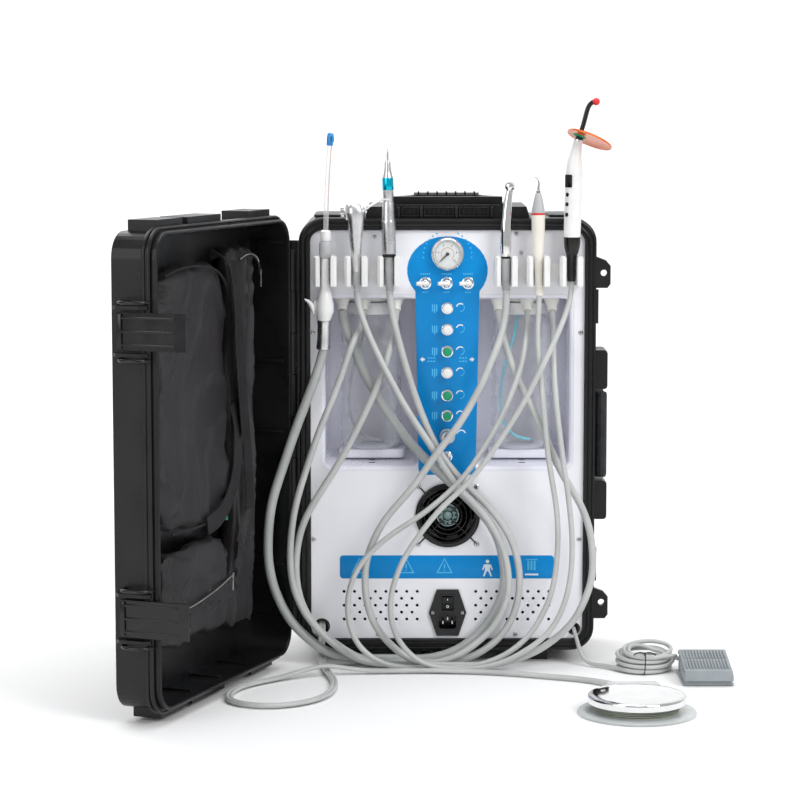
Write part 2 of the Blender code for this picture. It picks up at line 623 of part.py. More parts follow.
def build_low_speed():
    x = HOLDER_X[2]
    profile = [(4.9, 478.3), (5.2, 481), (5.2, 500), (5.3, 521.4), (8.4, 522.4), (8.9, 527), (9.2, 547),
               (9.0, 566), (7.4, 585), (6.8, 590), (6.8, 606), (6.9, 608), (6.9, 620), (6.6, 622),
               (4.4, 628), (3.4, 641)]
    body = turned(profile, (0, 0, 0), sides=16)
    for vert in body.verts:
        lean = (vert.co.z - 478.0) / 164.0
        vert.co += Vector((x + 1.0 - 2.6 * lean, AXIS_Y, 0))
    publish("low_speed_handpiece", body, "satin")
    publish("straight_bur", turned([(1.2, 641.4), (1.2, 652), (0.6, 656)], (x - 1.6, AXIS_Y, 0),
                                   sides=8), "steel")


def build_high_speed():
    x = HOLDER_X[3]
    body = bent([(x + 0.5, AXIS_Y, 478.3), (x, AXIS_Y, 486), (x - 0.2, AXIS_Y, 519.5),
                 (x - 0.4, AXIS_Y, 522.5), (x - 0.6, AXIS_Y, 545), (x + 0.2, AXIS_Y, 566),
                 (x + 2.0, AXIS_Y, 590), (x + 4.2, AXIS_Y, 607)],
                [5.0, 5.2, 5.3, 6.4, 7.4, 6.9, 5.2, 4.4], 16)
    head = turned([(3.2, -6.5), (5.2, -5.5), (5.6, 4.5), (4.4, 6.5)], (x + 4.6, AXIS_Y, 609.5),
                  (0.35, 0.93, 0), 14)
    publish("high_speed_handpiece", combine(body, add=[head]), "steel")


def build_scaler():
    """Ultrasonic scaler handpiece: sleeve, nose cone and the hooked tip that vibrates."""
    x = HOLDER_X[4]
    sleeve = bent([(x + 1.4, AXIS_Y, 473.3), (x + 1.2, AXIS_Y, 484), (x + 1.0, AXIS_Y, 484.6),
                   (x + 0.4, AXIS_Y, 510), (x + 0.2, AXIS_Y, 522), (x, AXIS_Y, 545),
                   (x - 0.3, AXIS_Y, 576.3)], [5.4, 5.4, 4.6, 5.2, 6.0, 7.8, 8.5], 16)
    publish("scaler_sleeve", sleeve, "ivory")
    cone = turned([(8.3, 576.7), (8.3, 579), (3.6, 600), (3.2, 601)], (x - 0.3, AXIS_Y, 0), sides=16)
    publish("scaler_nose_cone", cone, "grey")
    tip = bent([(x - 0.3, AXIS_Y, 601.4), (x - 0.2, AXIS_Y, 606), (x + 0.2, AXIS_Y, 611),
                (x - 0.2, AXIS_Y, 616), (x - 2.2, AXIS_Y, 619.5), (x - 4.6, AXIS_Y, 621.2)],
               [1.9, 1.5, 1.1, 0.9, 0.7, 0.45], 8)
    publish("scaler_tip", tip, "steel")


def build_curing_light():
    x = HOLDER_X[5]
    body = bent([(x + 0.3, AXIS_Y, 490.6), (x + 0.3, AXIS_Y, 521.5), (x + 0.6, AXIS_Y, 529),
                 (x + 0.8, AXIS_Y, 546), (x + 1.8, AXIS_Y, 590), (x + 2.8, AXIS_Y, 626),
                 (x + 4.2, AXIS_Y, 650), (x + 6.8, AXIS_Y, 662), (x + 8.0, AXIS_Y, 667)],
                [5.2, 5.5, 8.6, 10.5, 10.7, 10.9, 9.6, 6.8, 5.8], 16)
    publish("curing_light_body", body, "white")
    guide = bent([(x + 8.5, AXIS_Y, 667.5), (x + 10.2, AXIS_Y, 674.5), (x + 11.6, AXIS_Y, 679),
                  (x + 18.2, AXIS_Y, 703), (x + 20.6, AXIS_Y, 709.5), (x + 24.6, AXIS_Y, 714),
                  (x + 28.5, AXIS_Y, 715.2), (x + 32.0, AXIS_Y, 715.5), (x + 33.8, AXIS_Y, 715.6)],
                 [5.0, 4.6, 3.2, 3.0, 3.0, 3.2, 4.5, 4.4, 3.0], 12)
    publish("light_guide", guide, "black")
    hole_offset = 13.0
    shield = turned([(29.0, -2.0), (29.4, -1.0), (29.0, 1.0)], (hole_offset, 0, 0), sides=28)
    bore = turned([(5.7, -6), (5.7, 6)], (0, 0, 0), sides=12)
    shield = combine(shield, cut=[bore])
    lean = Vector((0, 0, 1)).rotation_difference(Vector((0.42, 0.24, 1.0)).normalized()).to_matrix()
    bmesh.ops.rotate(shield, verts=shield.verts, cent=(0, 0, 0), matrix=lean)
    bmesh.ops.translate(shield, verts=shield.verts, vec=(x + 9.9, AXIS_Y, 673.5))
    publish("light_shield", shield, "orange")


# ---------------------------------------------------------------- free hoses and cords

SUCTION_ROUTE = [
    (-156.5, -101, 404.8), (-159.6, -101, 392), (-168, -102, 366), (-189, -103, 311), (-209, -104, 253),
    (-222, -105, 210), (-227, -105, 170), (-227, -105, 137), (-222, -105, 108), (-213, -105, 83),
    (-198, -105.5, 57), (-178, -106.5, 36), (-157, -106, 20.5), (-132, -101, 11), (-108, -96.5, 7.2),
    (-70, -96, 6.6), (-30, -96, 6.6), (0, -96, 13), (30, -96, 30), (51, -96, 52), (66, -96, 78),
    (73, -96, 105), (72, -96, 132), (66, -96, 158), (54, -96, 182), (36, -96, 204), (6, -96, 233),
    (-30, -96, 267), (-52, -95, 292), (-74, -94, 322), (-94, -92, 354), (-108, -89, 380),
    (-119, -88, 408), (-127.5, -84, 427), (-131.5, -79, 441), (-133, -74.5, 449.6)]
SYRINGE_ROUTE = [(-114, -101, 479.7), (-112.3, -102.6, 464), (-105.5, -107.5, 440), (-93, -112.5, 410),
                 (-72, -116.5, 368), (-48, -117.3, 325), (-18, -117.3, 279), (14, -117.3, 231),
                 (38, -117.3, 206), (57, -117.3, 181), (70, -117.3, 153), (77, -117.3, 122),
                 (77, -117.3, 98), (70, -117.3, 73), (56, -117.3, 50), (35, -117.3, 30),
                 (12, -117.3, 15), (-14, -117.3, 7), (-44, -117.3, 4.9), (-80, -117.3, 4.9),
                 (-106, -117.3, 8.5), (-128, -117.3, 19), (-152, -117.3, 37), (-172, -117.3, 58),
                 (-187, -117.3, 82), (-196, -117.3, 109), (-199, -117.3, 142), (-197, -117.3, 176),
                 (-190, -117.3, 215), (-179, -117.3, 252), (-166, -117.3, 291), (-154, -116.2, 322),
                 (-142, -115, 352), (-130, -111, 384), (-119, -103, 414), (-112.5, -94, 428),
                 (-108, -82.5, 440), (-106.2, -73.7, 450.9)]
LOW_SPEED_ROUTE = [(-73.0, -101, 477.5), (-71.5, -102, 462), (-67.5, -104.5, 440), (-60, -107, 410),
                   (-46, -108, 362), (-32, -108, 322), (-11, -108, 277), (11, -108, 247),
                   (32, -108, 225), (51, -108, 206), (70, -108, 182), (85, -108, 152), (91, -108, 124),
                   (91, -108, 95), (84, -108, 66), (71, -108, 43), (50, -108, 23), (24, -108, 10),
                   (-8, -108, 5.2), (-50, -108, 5.1), (-90, -108, 5.5), (-114, -108, 12),
                   (-136, -108, 25), (-160, -108, 44), (-178, -108, 67), (-188, -108, 92),
                   (-192, -108, 122), (-190, -108, 154), (-181, -108, 187), (-165, -108, 217),
                   (-146, -108, 247), (-118, -107.5, 297), (-99, -107, 336), (-83, -105.5, 374),
                   (-74, -102, 402), (-69.5, -92.5, 422), (-66.5, -82, 439), (-65, -73.7, 450.9)]
HIGH_SPEED_ROUTE = [(73.5, -101, 477.4), (73.4, -103, 462), (71, -108, 442), (66, -115, 421),
                    (55, -122, 393), (43, -126.8, 365), (29, -126.8, 338), (14, -126.8, 313),
                    (-3, -126.8, 290), (-20, -126.8, 267), (-36, -126.8, 244), (-58, -126.8, 217),
                    (-80, -126.8, 190), (-95, -126.8, 161), (-103, -126.8, 133), (-104, -126.8, 107),
                    (-100, -126.8, 79), (-89, -126.8, 53), (-71, -126.8, 31), (-48, -126.8, 14),
                    (-20, -126.8, 6), (14, -126.8, 4.9), (52, -126.8, 5.5), (84, -126.8, 12),
                    (112, -126.8, 23), (136, -126.8, 39), (158, -126.8, 61), (173, -126.8, 88),
                    (182, -126.8, 118), (183, -126.8, 148), (178, -126.8, 182), (167, -126.8, 211),
                    (153, -126.8, 235), (143, -126.8, 252), (133, -126.8, 273), (116, -125, 311),
                    (101, -121, 342), (87, -114, 371), (77, -104, 398), (70, -92.5, 421),
                    (66.7, -82, 439), (65, -73.7, 450.9)]
SCALER_ROUTE = [(114.9, -101, 472.4), (114.4, -104, 458), (113, -112, 435), (113.4, -122, 405),
                (116, -130, 372), (119, -134, 340), (122, -135.6, 308), (126, -135.6, 272),
                (132, -135.6, 236), (137, -135.6, 202), (138.5, -135.6, 166), (136.5, -135.6, 132),
                (130, -135.6, 98), (119, -135.6, 71), (103, -135.6, 46), (81, -135.6, 26),
                (54, -135.6, 12), (24, -135.6, 4.8), (-10, -135.6, 3.9), (-46, -135.6, 3.9),
                (-76, -135.6, 8), (-98, -135.6, 19), (-114, -135.6, 36), (-123, -135.6, 57),
                (-126, -135.6, 81), (-123, -135.6, 106), (-112, -135.6, 132), (-93, -135.6, 155),
                (-67, -135.6, 177), (-38, -135.6, 196), (-10, -135.6, 218), (16, -135.6, 243),
                (36, -135.6, 270), (55, -135.6, 301), (71, -133.5, 332), (83, -129, 361),
                (91.5, -121, 385), (97, -109, 410), (99.8, -94, 427), (100.8, -82.5, 440),
                (101, -73.7, 450.9)]
CURING_ROUTE = [(155.3, -101, 489.6), (154.6, -103, 476), (149.5, -112, 456), (139, -124, 431),
                (125, -135, 402), (108, -141, 368), (89, -143.2, 333), (67, -143.2, 298),
                (43, -143.2, 263), (20, -143.2, 236), (-7, -143.2, 210), (-32, -143.2, 180),
                (-52, -143.2, 150), (-65, -143.2, 121), (-71.5, -143.2, 93), (-71, -143.2, 67),
                (-62, -143.2, 42), (-46, -143.2, 22), (-22, -143.2, 8), (6, -143.2, 3.9),
                (36, -143.2, 4.6), (68, -143.2, 12), (99, -143.2, 28), (127, -143.2, 51),
                (145, -143.2, 83), (154, -143.2, 121), (156, -143.2, 165), (152, -143.2, 214),
                (146, -143.2, 256), (139, -142, 306), (135, -138, 344), (133, -128, 378),
                (132.5, -113, 408), (132.8, -95, 427), (133, -82.5, 440), (133, -73.7, 450.9)]
FOOT_TUBE_ROUTE = [(-160, -66, 58), (-160, -72, 53.5), (-160, -78.5, 47), (-160.2, -85, 39.5),
                   (-160.5, -90, 30), (-160.8, -92.8, 21), (-160.6, -96.5, 13.5), (-159.5, -106, 7),
                   (-157.5, -119, 4.3), (-152, -155, 3.9), (-145, -190, 3.9), (-141, -225, 3.9),
                   (-143, -262, 3.9), (-153, -297, 3.9), (-174, -326, 3.9), (-205, -343, 3.9),
                   (-236, -340, 3.9), (-259, -322, 3.9), (-266, -290, 3.9), (-259, -255, 3.9),
                   (-238, -222, 3.9), (-208, -194, 4.5), (-180, -175, 9), (-155, -163, 11.6),
                   (-128, -157, 8), (-98, -154, 4), (-58, -152, 3.9), (-10, -152, 3.9), (38, -157, 3.9),
                   (84, -168, 3.9), (126, -184, 3.9), (160, -198, 3.9), (186, -215, 4.1),
                   (204, -238, 5.5), (213, -263, 8), (216, -288.4, 9.5)]
FOOT_SWITCH_ROUTE = [
    (163, -79, 43), (163.2, -85.5, 42), (164.5, -91.5, 37), (167, -95.8, 28), (170, -99.5, 18),
    (175, -104.5, 9), (183, -111, 4), (193, -118.5, 3.4), (207, -125, 6.5)]
HOSES = (("suction_hose", SUCTION_ROUTE, 12.0), ("syringe_hose", SYRINGE_ROUTE, 8.5),
         ("low_speed_hose", LOW_SPEED_ROUTE, 9.0), ("high_speed_hose", HIGH_SPEED_ROUTE, 9.0),
         ("scaler_hose", SCALER_ROUTE, 7.0), ("curing_light_cable", CURING_ROUTE, 7.0),
         ("foot_control_tube", FOOT_TUBE_ROUTE, 7.0), ("foot_switch_cable", FOOT_SWITCH_ROUTE, 5.3))


def build_hoses():
    for name, route, diameter in HOSES:
        hose(name, route, diameter)


# ---------------------------------------------------------------- floor controls

def build_foot_switch():
    """Electric foot switch at the end of its folded cable."""
    hank = prism(rounded(248.5, -127, 82, 74, 36, 6), 0.5, 28.0, "Z")
    bmesh.ops.bevel(hank, geom=[e for e in hank.edges if abs(e.verts[0].co.z - e.verts[1].co.z) < 1e-3],
                    offset=6, segments=2, affect="EDGES", profile=0.5)
    publish("foot_switch_hank", hank, "hose")
    base = prism([(-222, 0), (-140, 0), (-140, 21.5), (-148, 23.3), (-222, 6.2)], 291, 349, "X")
    relief = bent([(311, -146, 12), (310, -132, 12), (303, -121, 12), (289.5, -117, 12)],
                  [4.4, 3.9, 3.4, 3.0], 8)
    publish("foot_switch_base", combine(base, add=[relief]), "grey")
    pedal = prism([(-223, 10.6), (-148, 24.4), (-141, 22.4), (-141, 28.0), (-149, 30.5), (-223, 20)],
                  290, 350, "X")
    publish("foot_switch_pedal", pedal, "grey")


def build_foot_control():
    """Round pneumatic foot control: a chromed disc that travels down over its base."""
    centre = (*DISC_CENTRE, 0)
    plate = turned([(DISC_PLATE_RADIUS, 0), (DISC_PLATE_RADIUS, 2), (DISC_PLATE_RADIUS - 2, 3.2), (46, 3.2),
                    (46, 11.5), (0, 11.5)], centre, sides=32)
    rear = DISC_CENTRE[1] + DISC_RADIUS + 3
    x = DISC_CENTRE[0]
    tab = prism([(x - 42, 0.5), (x + 42, 0.5), (x + 42, 9), (x + 30, 21), (x - 30, 21), (x - 42, 10)],
                rear, rear + 16)
    publish("foot_control_base", combine(plate, add=[tab]), "grey")
    profile = [(0, 17), (50, 17), (53, 16), (53, 13), (57, 13), (DISC_RADIUS, 14), (DISC_RADIUS, 20.5),
               (DISC_RADIUS - 1.5, 22.3), (52, 23), (20, 23.6), (0, 23.7)]
    publish("foot_control_disc", turned(profile, centre, sides=32), "steel")


# ---------------------------------------------------------------- inside the case

def build_inside():
    head = block(-108, -42, -40, 40, 44, 126, 4)
    motor = turned([(30, 0), (30, 70)], (-110, 0, 150), (1, 0, 0), 16)
    publish("compressor", combine(head, add=[motor]), "satin")
    box = block(60, 150, -45, 35, 60, 170, 3)
    lid = block(64, 146, -48, -44, 64, 166)
    publish("ultrasonic_generator", combine(box, add=[lid]), "steel")


def build_all():
    clear_scene()
    lid_hinge = bpy.data.objects.new("lid_hinge", None)
    lid_hinge.location = (HINGE_X * MM, HINGE_Y * MM, 0)
    lid_hinge.rotation_euler = (0, 0, math.radians(-LID_OPEN_DEG))
    bpy.context.collection.objects.link(lid_hinge)
    build_base()
    build_top_handle()
    build_side_handle()
    build_lid(lid_hinge)
    build_panel()
    build_bottles()
    build_gauge()
    build_controls()
    build_fan()
    build_inlet()
    build_holders()
    build_suction()
    build_syringe()
    build_low_speed()
    build_high_speed()
    build_scaler()
    build_curing_light()
    build_hoses()
    build_foot_switch()
    build_foot_control()
    build_inside()


build_all()
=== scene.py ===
"""Looks of the portable dental delivery unit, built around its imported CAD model.

Shapes are drawn in millimetres in the CAD frame and scaled once, in piece(). Cord routes are metres.
"""

import math

import bmesh
import bpy
import numpy as np
from mathutils import Matrix, Vector, noise


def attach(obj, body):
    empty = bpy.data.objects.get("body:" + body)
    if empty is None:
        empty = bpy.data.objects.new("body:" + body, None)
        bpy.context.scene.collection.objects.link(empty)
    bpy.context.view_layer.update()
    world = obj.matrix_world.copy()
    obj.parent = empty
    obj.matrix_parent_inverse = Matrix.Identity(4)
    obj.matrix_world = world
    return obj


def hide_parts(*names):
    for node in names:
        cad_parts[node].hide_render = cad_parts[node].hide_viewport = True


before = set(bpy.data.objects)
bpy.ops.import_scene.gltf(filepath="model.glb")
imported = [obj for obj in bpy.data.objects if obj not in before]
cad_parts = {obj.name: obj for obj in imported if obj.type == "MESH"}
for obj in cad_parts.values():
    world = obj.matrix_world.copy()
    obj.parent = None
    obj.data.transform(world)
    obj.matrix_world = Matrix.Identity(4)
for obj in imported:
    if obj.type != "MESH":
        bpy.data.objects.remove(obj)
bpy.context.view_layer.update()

MM = 0.001

# driving places of the CAD model, in millimetres
CASE_HALF = 188.0
CASE_BOTTOM, CASE_TOP = 16.0, 569.0
CASE_MIDDLE = (CASE_BOTTOM + CASE_TOP) / 2
CASE_TALL = CASE_TOP - CASE_BOTTOM
CASE_CORNER = 30.0
CASE_FRONT = -85.0
HINGE = (-197.0, -85.0)
LID_OPEN_DEG = 111.2
LID_NEAR, LID_FAR = 9.0, 385.0
LATCH_CENTRES = (457.5, 127.5)
PANEL_FRONT = -80.0
CONTROL_FACE = -80.3
PANEL_HALF, PANEL_LOW, PANEL_HIGH = 174.0, 30.0, 554.0
BAY_INNER, BAY_OUTER, BAY_LOW, BAY_HIGH = 37.0, 155.0, 253.0, 467.0
BAY_MIDDLE = (BAY_LOW + BAY_HIGH) / 2
BAY_CENTRE = (BAY_INNER + BAY_OUTER) / 2
FLOOR_SLOPE, FLOOR_BLEND = 0.13, 300.0
BOTTLE_X, BOTTLE_Y = 97.0, -24.0
OUTLET_X = (-133.0, -106.2, -65.0, 65.0, 101.0, 133.0)
OUTLET_UP = (0.0, 0.57, 0.82)
FAN = (1.0, 190.0)
INLET_Z = 64.0
GAUGE_Z = 524.0
TOGGLE_X, TOGGLE_Z = (-28.0, -1.0, 26.0), 487.0
KNOBS = ((455.0, "white"), (428.0, "white"), (400.0, "green"), (373.0, "white"), (344.0, "green"),
         (318.0, "green"))
REGULATOR_Z = 292.0
HOLDER_X = (-154.0, -115.0, -74.0, 73.0, 113.5, 155.0)
AXIS_Y = -101.0
CABLE_HOLES = ((-160.0, 46.0, 8.0), (163.0, 43.0, 6.0))
FORWARD = (0, -1, 0)
DISC = (219.0, -366.0)


# ---------------------------------------------------------------- camera

def make_camera():
    data = bpy.data.cameras.new("camera")
    data.lens = 118.7
    data.sensor_width = 36.0
    camera = bpy.data.objects.new("camera", data)
    camera.location = (-0.060, -3.411, 0.720)
    camera.rotation_euler = (math.radians(90.0 - 6.54), 0.0, 0.0)
    bpy.context.scene.collection.objects.link(camera)
    bpy.context.scene.camera = camera


# ---------------------------------------------------------------- materials

def node(tree, kind, inputs=None, **settings):
    """A shader node with its settings and inputs. An input is a value or another node's socket."""
    made = tree.nodes.new(kind)
    for name, value in settings.items():
        setattr(made, name, value)
    for name, value in (inputs or {}).items():
        if isinstance(value, bpy.types.NodeSocket):
            tree.links.new(value, made.inputs[name])
        else:
            made.inputs[name].default_value = value
    return made


def place(tree, stretch=(1.0, 1.0, 1.0)):
    """Position in the CAD frame in metres, stretched for grain that runs one way."""
    where = node(tree, "ShaderNodeTexCoord").outputs["Object"]
    return node(tree, "ShaderNodeMapping", {"Vector": where, "Scale": stretch}).outputs["Vector"]


def speckle(tree, scale, detail=3.0, stretch=(1.0, 1.0, 1.0)):
    return node(tree, "ShaderNodeTexNoise", {"Vector": place(tree, stretch), "Scale": scale,
                                             "Detail": detail, "Roughness": 0.55}).outputs["Fac"]


def spread(tree, source, low, high, start=0.35, end=0.65):
    return node(tree, "ShaderNodeMapRange", {"Value": source, "From Min": start, "From Max": end,
                                             "To Min": low, "To Max": high}).outputs["Result"]


def blended(tree, factor, first, second):
    mix = node(tree, "ShaderNodeMix", data_type="RGBA")
    tree.links.new(factor, mix.inputs["Factor"])
    mix.inputs["A"].default_value = (*first, 1.0) if len(first) == 3 else first
    mix.inputs["B"].default_value = (*second, 1.0)
    return mix.outputs["Result"]


def finish(name, colour, second, rough=(0.3, 0.4), patch=25.0, grain=1200.0, bump=0.15, depth=0.0002,
           metallic=0.0, stretch=(1.0, 1.0, 1.0), cells=0.0, weave=0.0, **sockets):
    """A worked material: broad colour variation, a grained roughness and a fine relief."""
    made = bpy.data.materials.new(name)
    made.use_nodes = True
    tree = made.node_tree
    shader = tree.nodes["Principled BSDF"]
    shader.inputs["Metallic"].default_value = metallic
    for socket, value in sockets.items():
        shader.inputs[socket.replace("_", " ")].default_value = value
    broad = speckle(tree, patch, 4.0)
    fine = speckle(tree, grain, 2.0, stretch)
    tree.links.new(blended(tree, spread(tree, broad, 0.0, 1.0), colour, second),
                   shader.inputs["Base Color"])
    height = fine
    if cells:
        height = node(tree, "ShaderNodeTexVoronoi", {"Vector": place(tree), "Scale": cells},
                      feature="SMOOTH_F1").outputs["Distance"]
    if weave:
        bands = [node(tree, "ShaderNodeTexWave", {"Vector": place(tree), "Scale": weave},
                      bands_direction=way).outputs["Fac"] for way in ("Y", "Z")]
        height = node(tree, "ShaderNodeMath", {0: bands[0], 1: bands[1]}, operation="ADD").outputs[0]
    mixed = node(tree, "ShaderNodeMath", {0: fine, 1: broad}, operation="ADD").outputs[0]
    tree.links.new(spread(tree, mixed, *rough, start=0.8, end=1.2), shader.inputs["Roughness"])
    relief = node(tree, "ShaderNodeBump", {"Height": height, "Strength": bump, "Distance": depth})
    tree.links.new(relief.outputs["Normal"], shader.inputs["Normal"])
    return made


def see_through(name, colour, second, edge_on, face_on, rough=(0.03, 0.08), **sockets):
    """Clear plastic: mostly let through face on, and denser where the wall is seen edge on."""
    made = finish(name, colour, second, rough, patch=30.0, grain=500.0, bump=0.05, **sockets)
    tree = made.node_tree
    facing = node(tree, "ShaderNodeLayerWeight", {"Blend": 0.35}).outputs["Facing"]
    alpha = spread(tree, facing, face_on, edge_on, 0.05, 0.95)
    tree.links.new(alpha, tree.nodes["Principled BSDF"].inputs["Alpha"])
    return made


BLACK = finish("case_black", (0.0045, 0.0045, 0.0050), (0.0085, 0.0085, 0.0095), (0.26, 0.42), 18, 1400,
               0.5, 0.0002, cells=1500, Specular_IOR_Level=0.34)
SATIN_BLACK = finish("satin_black", (0.0040, 0.0040, 0.0045), (0.0080, 0.0080, 0.0085), (0.14, 0.28), 30,
                     2200, Specular_IOR_Level=0.40)
GRIP = finish("grip_rubber", (0.010, 0.011, 0.012), (0.026, 0.027, 0.029), (0.45, 0.62), 90, 1800, 0.9,
              0.0006, cells=620, Specular_IOR_Level=0.30)
NYLON = finish("bag_nylon", (0.0080, 0.0062, 0.0075), (0.0180, 0.0150, 0.0175), (0.33, 0.50), 14, 900,
               0.55, 0.0003, weave=420, Specular_IOR_Level=0.42, Sheen_Weight=0.03, Sheen_Roughness=0.5)
WEBBING = finish("webbing", (0.0070, 0.0060, 0.0070), (0.0170, 0.0150, 0.0170), (0.50, 0.66), 40, 900,
                 0.9, 0.0005, weave=210, Specular_IOR_Level=0.25, Sheen_Weight=0.02)
PANEL = finish("panel_gloss", (0.86, 0.86, 0.90), (0.90, 0.90, 0.94), (0.13, 0.20), 9, 260, 0.06, 0.0002,
               Coat_Weight=0.4, Coat_Roughness=0.08)
BAY = finish("bay_liner", (0.87, 0.87, 0.97), (0.91, 0.91, 0.99), (0.16, 0.28), 11, 300, 0.08, 0.0002,
             Coat_Weight=0.3, Coat_Roughness=0.1)
LABEL = finish("label_blue", (0.0, 0.235, 0.610), (0.0, 0.262, 0.655), (0.26, 0.34), 20, 1500, 0.08,
               0.0001, Specular_IOR_Level=0.22)
MARK = finish("label_mark", (0.80, 0.88, 0.92), (0.70, 0.82, 0.90), (0.3, 0.4), 120, 1500, 0.05)
PALE_MARK = finish("label_pale_mark", (0.05, 0.46, 0.80), (0.08, 0.50, 0.82), (0.3, 0.4), 120, 1500, 0.05)
WHITE = finish("white_plastic", (0.80, 0.80, 0.79), (0.86, 0.86, 0.85), (0.24, 0.34), 35, 1300, 0.12)
CREAM = finish("cream_plastic", (0.76, 0.75, 0.70), (0.82, 0.81, 0.77), (0.28, 0.4), 35, 1300, 0.12)
IVORY = finish("ivory_plastic", (0.78, 0.75, 0.67), (0.84, 0.81, 0.74), (0.30, 0.42), 35, 1500, 0.14)
GREY = finish("grey_plastic", (0.42, 0.43, 0.44), (0.50, 0.51, 0.52), (0.36, 0.5), 40, 1300, 0.2)
SWITCH = finish("foot_switch_grey", (0.27, 0.30, 0.32), (0.33, 0.36, 0.38), (0.40, 0.55), 35, 1500, 0.3,
                cells=1300)
HOSE = finish("hose_grey", (0.45, 0.46, 0.45), (0.54, 0.55, 0.54), (0.32, 0.44), 22, 700, 0.10, 0.0002,
              Coat_Weight=0.15, Coat_Roughness=0.3)
HOSE_DARK = finish("suction_grey", (0.40, 0.42, 0.41), (0.48, 0.50, 0.49), (0.34, 0.46), 22, 700, 0.10,
                   0.0002, Coat_Weight=0.15, Coat_Roughness=0.3)
GREEN = finish("green_plastic", (0.0, 0.26, 0.11), (0.0, 0.33, 0.15), (0.25, 0.38), 60, 1400, 0.12)
RED = finish("red_plastic", (0.62, 0.015, 0.02), (0.72, 0.03, 0.03), (0.22, 0.3), 60, 1400, 0.1)
CYAN = finish("cyan_anodised", (0.0, 0.42, 0.60), (0.0, 0.50, 0.68), (0.16, 0.26), 60, 1500, 0.08,
              metallic=0.75)
TIP_BLUE = finish("tip_blue", (0.02, 0.22, 0.56), (0.03, 0.27, 0.62), (0.3, 0.4), 60, 1400, 0.1)
CHROME = finish("chrome", (0.78, 0.78, 0.78), (0.86, 0.86, 0.86), (0.04, 0.10), 45, 900, 0.03, metallic=1.0)
SATIN = finish("satin_metal", (0.62, 0.62, 0.63), (0.72, 0.72, 0.73), (0.24, 0.36), 40, 1500, 0.25,
               0.0001, metallic=1.0, stretch=(1.0, 1.0, 0.06))
STEEL = finish("dark_steel", (0.33, 0.31, 0.30), (0.45, 0.43, 0.41), (0.16, 0.28), 60, 1500, 0.1,
               metallic=1.0)
ALUMINIUM = finish("cast_aluminium", (0.45, 0.46, 0.47), (0.56, 0.57, 0.58), (0.4, 0.55), 30, 900, 0.5,
                   0.0003, metallic=1.0)
COPPER = finish("copper_wire", (0.60, 0.34, 0.20), (0.70, 0.42, 0.26), (0.25, 0.35), 60, 1500, 0.1,
                metallic=0.9)
# Near-black for real dark parts (needle, dial print, black bands, screen, regulator core) and for painted
# shade: dark crosses in screw recesses, dark blocks in bay slots and tip holes, and a dark sheet behind the
# vent holes.
DARK_AND_PAINTED_SHADE = finish("dark_parts_and_painted_shade", (0.0035, 0.0035, 0.0045), (0.0075, 0.0075, 0.0090), (0.14, 0.26), 40, 1500,
              0.05, Specular_IOR_Level=0.40)
DIAL = finish("dial_white", (0.76, 0.79, 0.78), (0.82, 0.84, 0.83), (0.35, 0.45), 60, 1500, 0.05)
HUB_LABEL = finish("hub_label", (0.16, 0.34, 0.30), (0.42, 0.56, 0.58), (0.3, 0.45), 160, 1500, 0.1)
BOTTLE = see_through("bottle_clear", (0.84, 0.86, 0.93), (0.90, 0.91, 0.96), 0.70, 0.08)
TUBE = see_through("tube_clear", (0.78, 0.80, 0.84), (0.84, 0.86, 0.88), 0.75, 0.25)
CYAN_TUBE = finish("dip_tube_blue", (0.10, 0.62, 0.76), (0.16, 0.68, 0.80), (0.2, 0.3), 60, 1400, 0.08)
LENS = see_through("gauge_lens", (0.80, 0.84, 0.86), (0.86, 0.88, 0.90), 0.35, 0.04, (0.02, 0.05))
AMBER = see_through("amber_filter", (0.86, 0.40, 0.055), (0.93, 0.48, 0.10), 0.97, 0.80)
AMBER_EDGE = finish("amber_edge", (0.70, 0.11, 0.010), (0.80, 0.17, 0.02), (0.12, 0.2), 60, 900, 0.05)
PLATE = see_through("plate_clear", (0.62, 0.66, 0.66), (0.70, 0.73, 0.73), 0.90, 0.55, (0.12, 0.22))
BELLOWS = finish("bellows", (0.34, 0.37, 0.30), (0.42, 0.45, 0.38), (0.4, 0.55), 60, 1200, 0.2)


# ---------------------------------------------------------------- shapes, in millimetres

def rounded(cx, cz, width, height, radius, steps=8):
    """Outline of a rounded rectangle, counter-clockwise."""
    points = []
    for sx, sz, start in ((1, 1, 0), (-1, 1, 90), (-1, -1, 180), (1, -1, 270)):
        for i in range(steps + 1):
            angle = math.radians(start + 90 * i / steps)
            points.append((cx + sx * (width / 2 - radius) + radius * math.cos(angle),
                           cz + sz * (height / 2 - radius) + radius * math.sin(angle)))
    return points


def circle(cx, cz, radius, steps=32):
    return [(cx + radius * math.cos(math.tau * i / steps), cz + radius * math.sin(math.tau * i / steps))
            for i in range(steps)]


def loft(loops, closed_ends=(True, True), ring=False):
    """Surface through closed loops of equal length."""
    shape = bmesh.new()
    rows = [[shape.verts.new(point) for point in loop] for loop in loops]
    pairs = list(zip(rows, rows[1:] + rows[:1])) if ring else list(zip(rows, rows[1:]))
    for lower, upper in pairs:
        for k in range(len(lower)):
            j = (k + 1) % len(lower)
            shape.faces.new((lower[k], lower[j], upper[j], upper[k]))
    if closed_ends[0] and not ring:
        shape.faces.new(rows[0])
    if closed_ends[1] and not ring:
        shape.faces.new(rows[-1])
    bmesh.ops.recalc_face_normals(shape, faces=shape.faces)
    return shape


def turned(profile, origin, axis=(0, 0, 1), sides=32, flutes=0, flute_depth=0.0):
    """Solid of revolution from (radius, distance along the axis) pairs, with optional flutes."""
    turn = Vector((0, 0, 1)).rotation_difference(Vector(axis).normalized()).to_matrix()
    loops = []
    for radius, along in profile:
        loop = []
        for i in range(sides):
            angle = math.tau * i / sides
            here = radius - (flute_depth * (0.5 + 0.5 * math.cos(flutes * angle)) if flutes else 0.0)
            here = max(here, 0.02)
            loop.append(turn @ Vector((here * math.cos(angle), here * math.sin(angle), along))
                        + Vector(origin))
        loops.append(loop)
    return loft(loops)


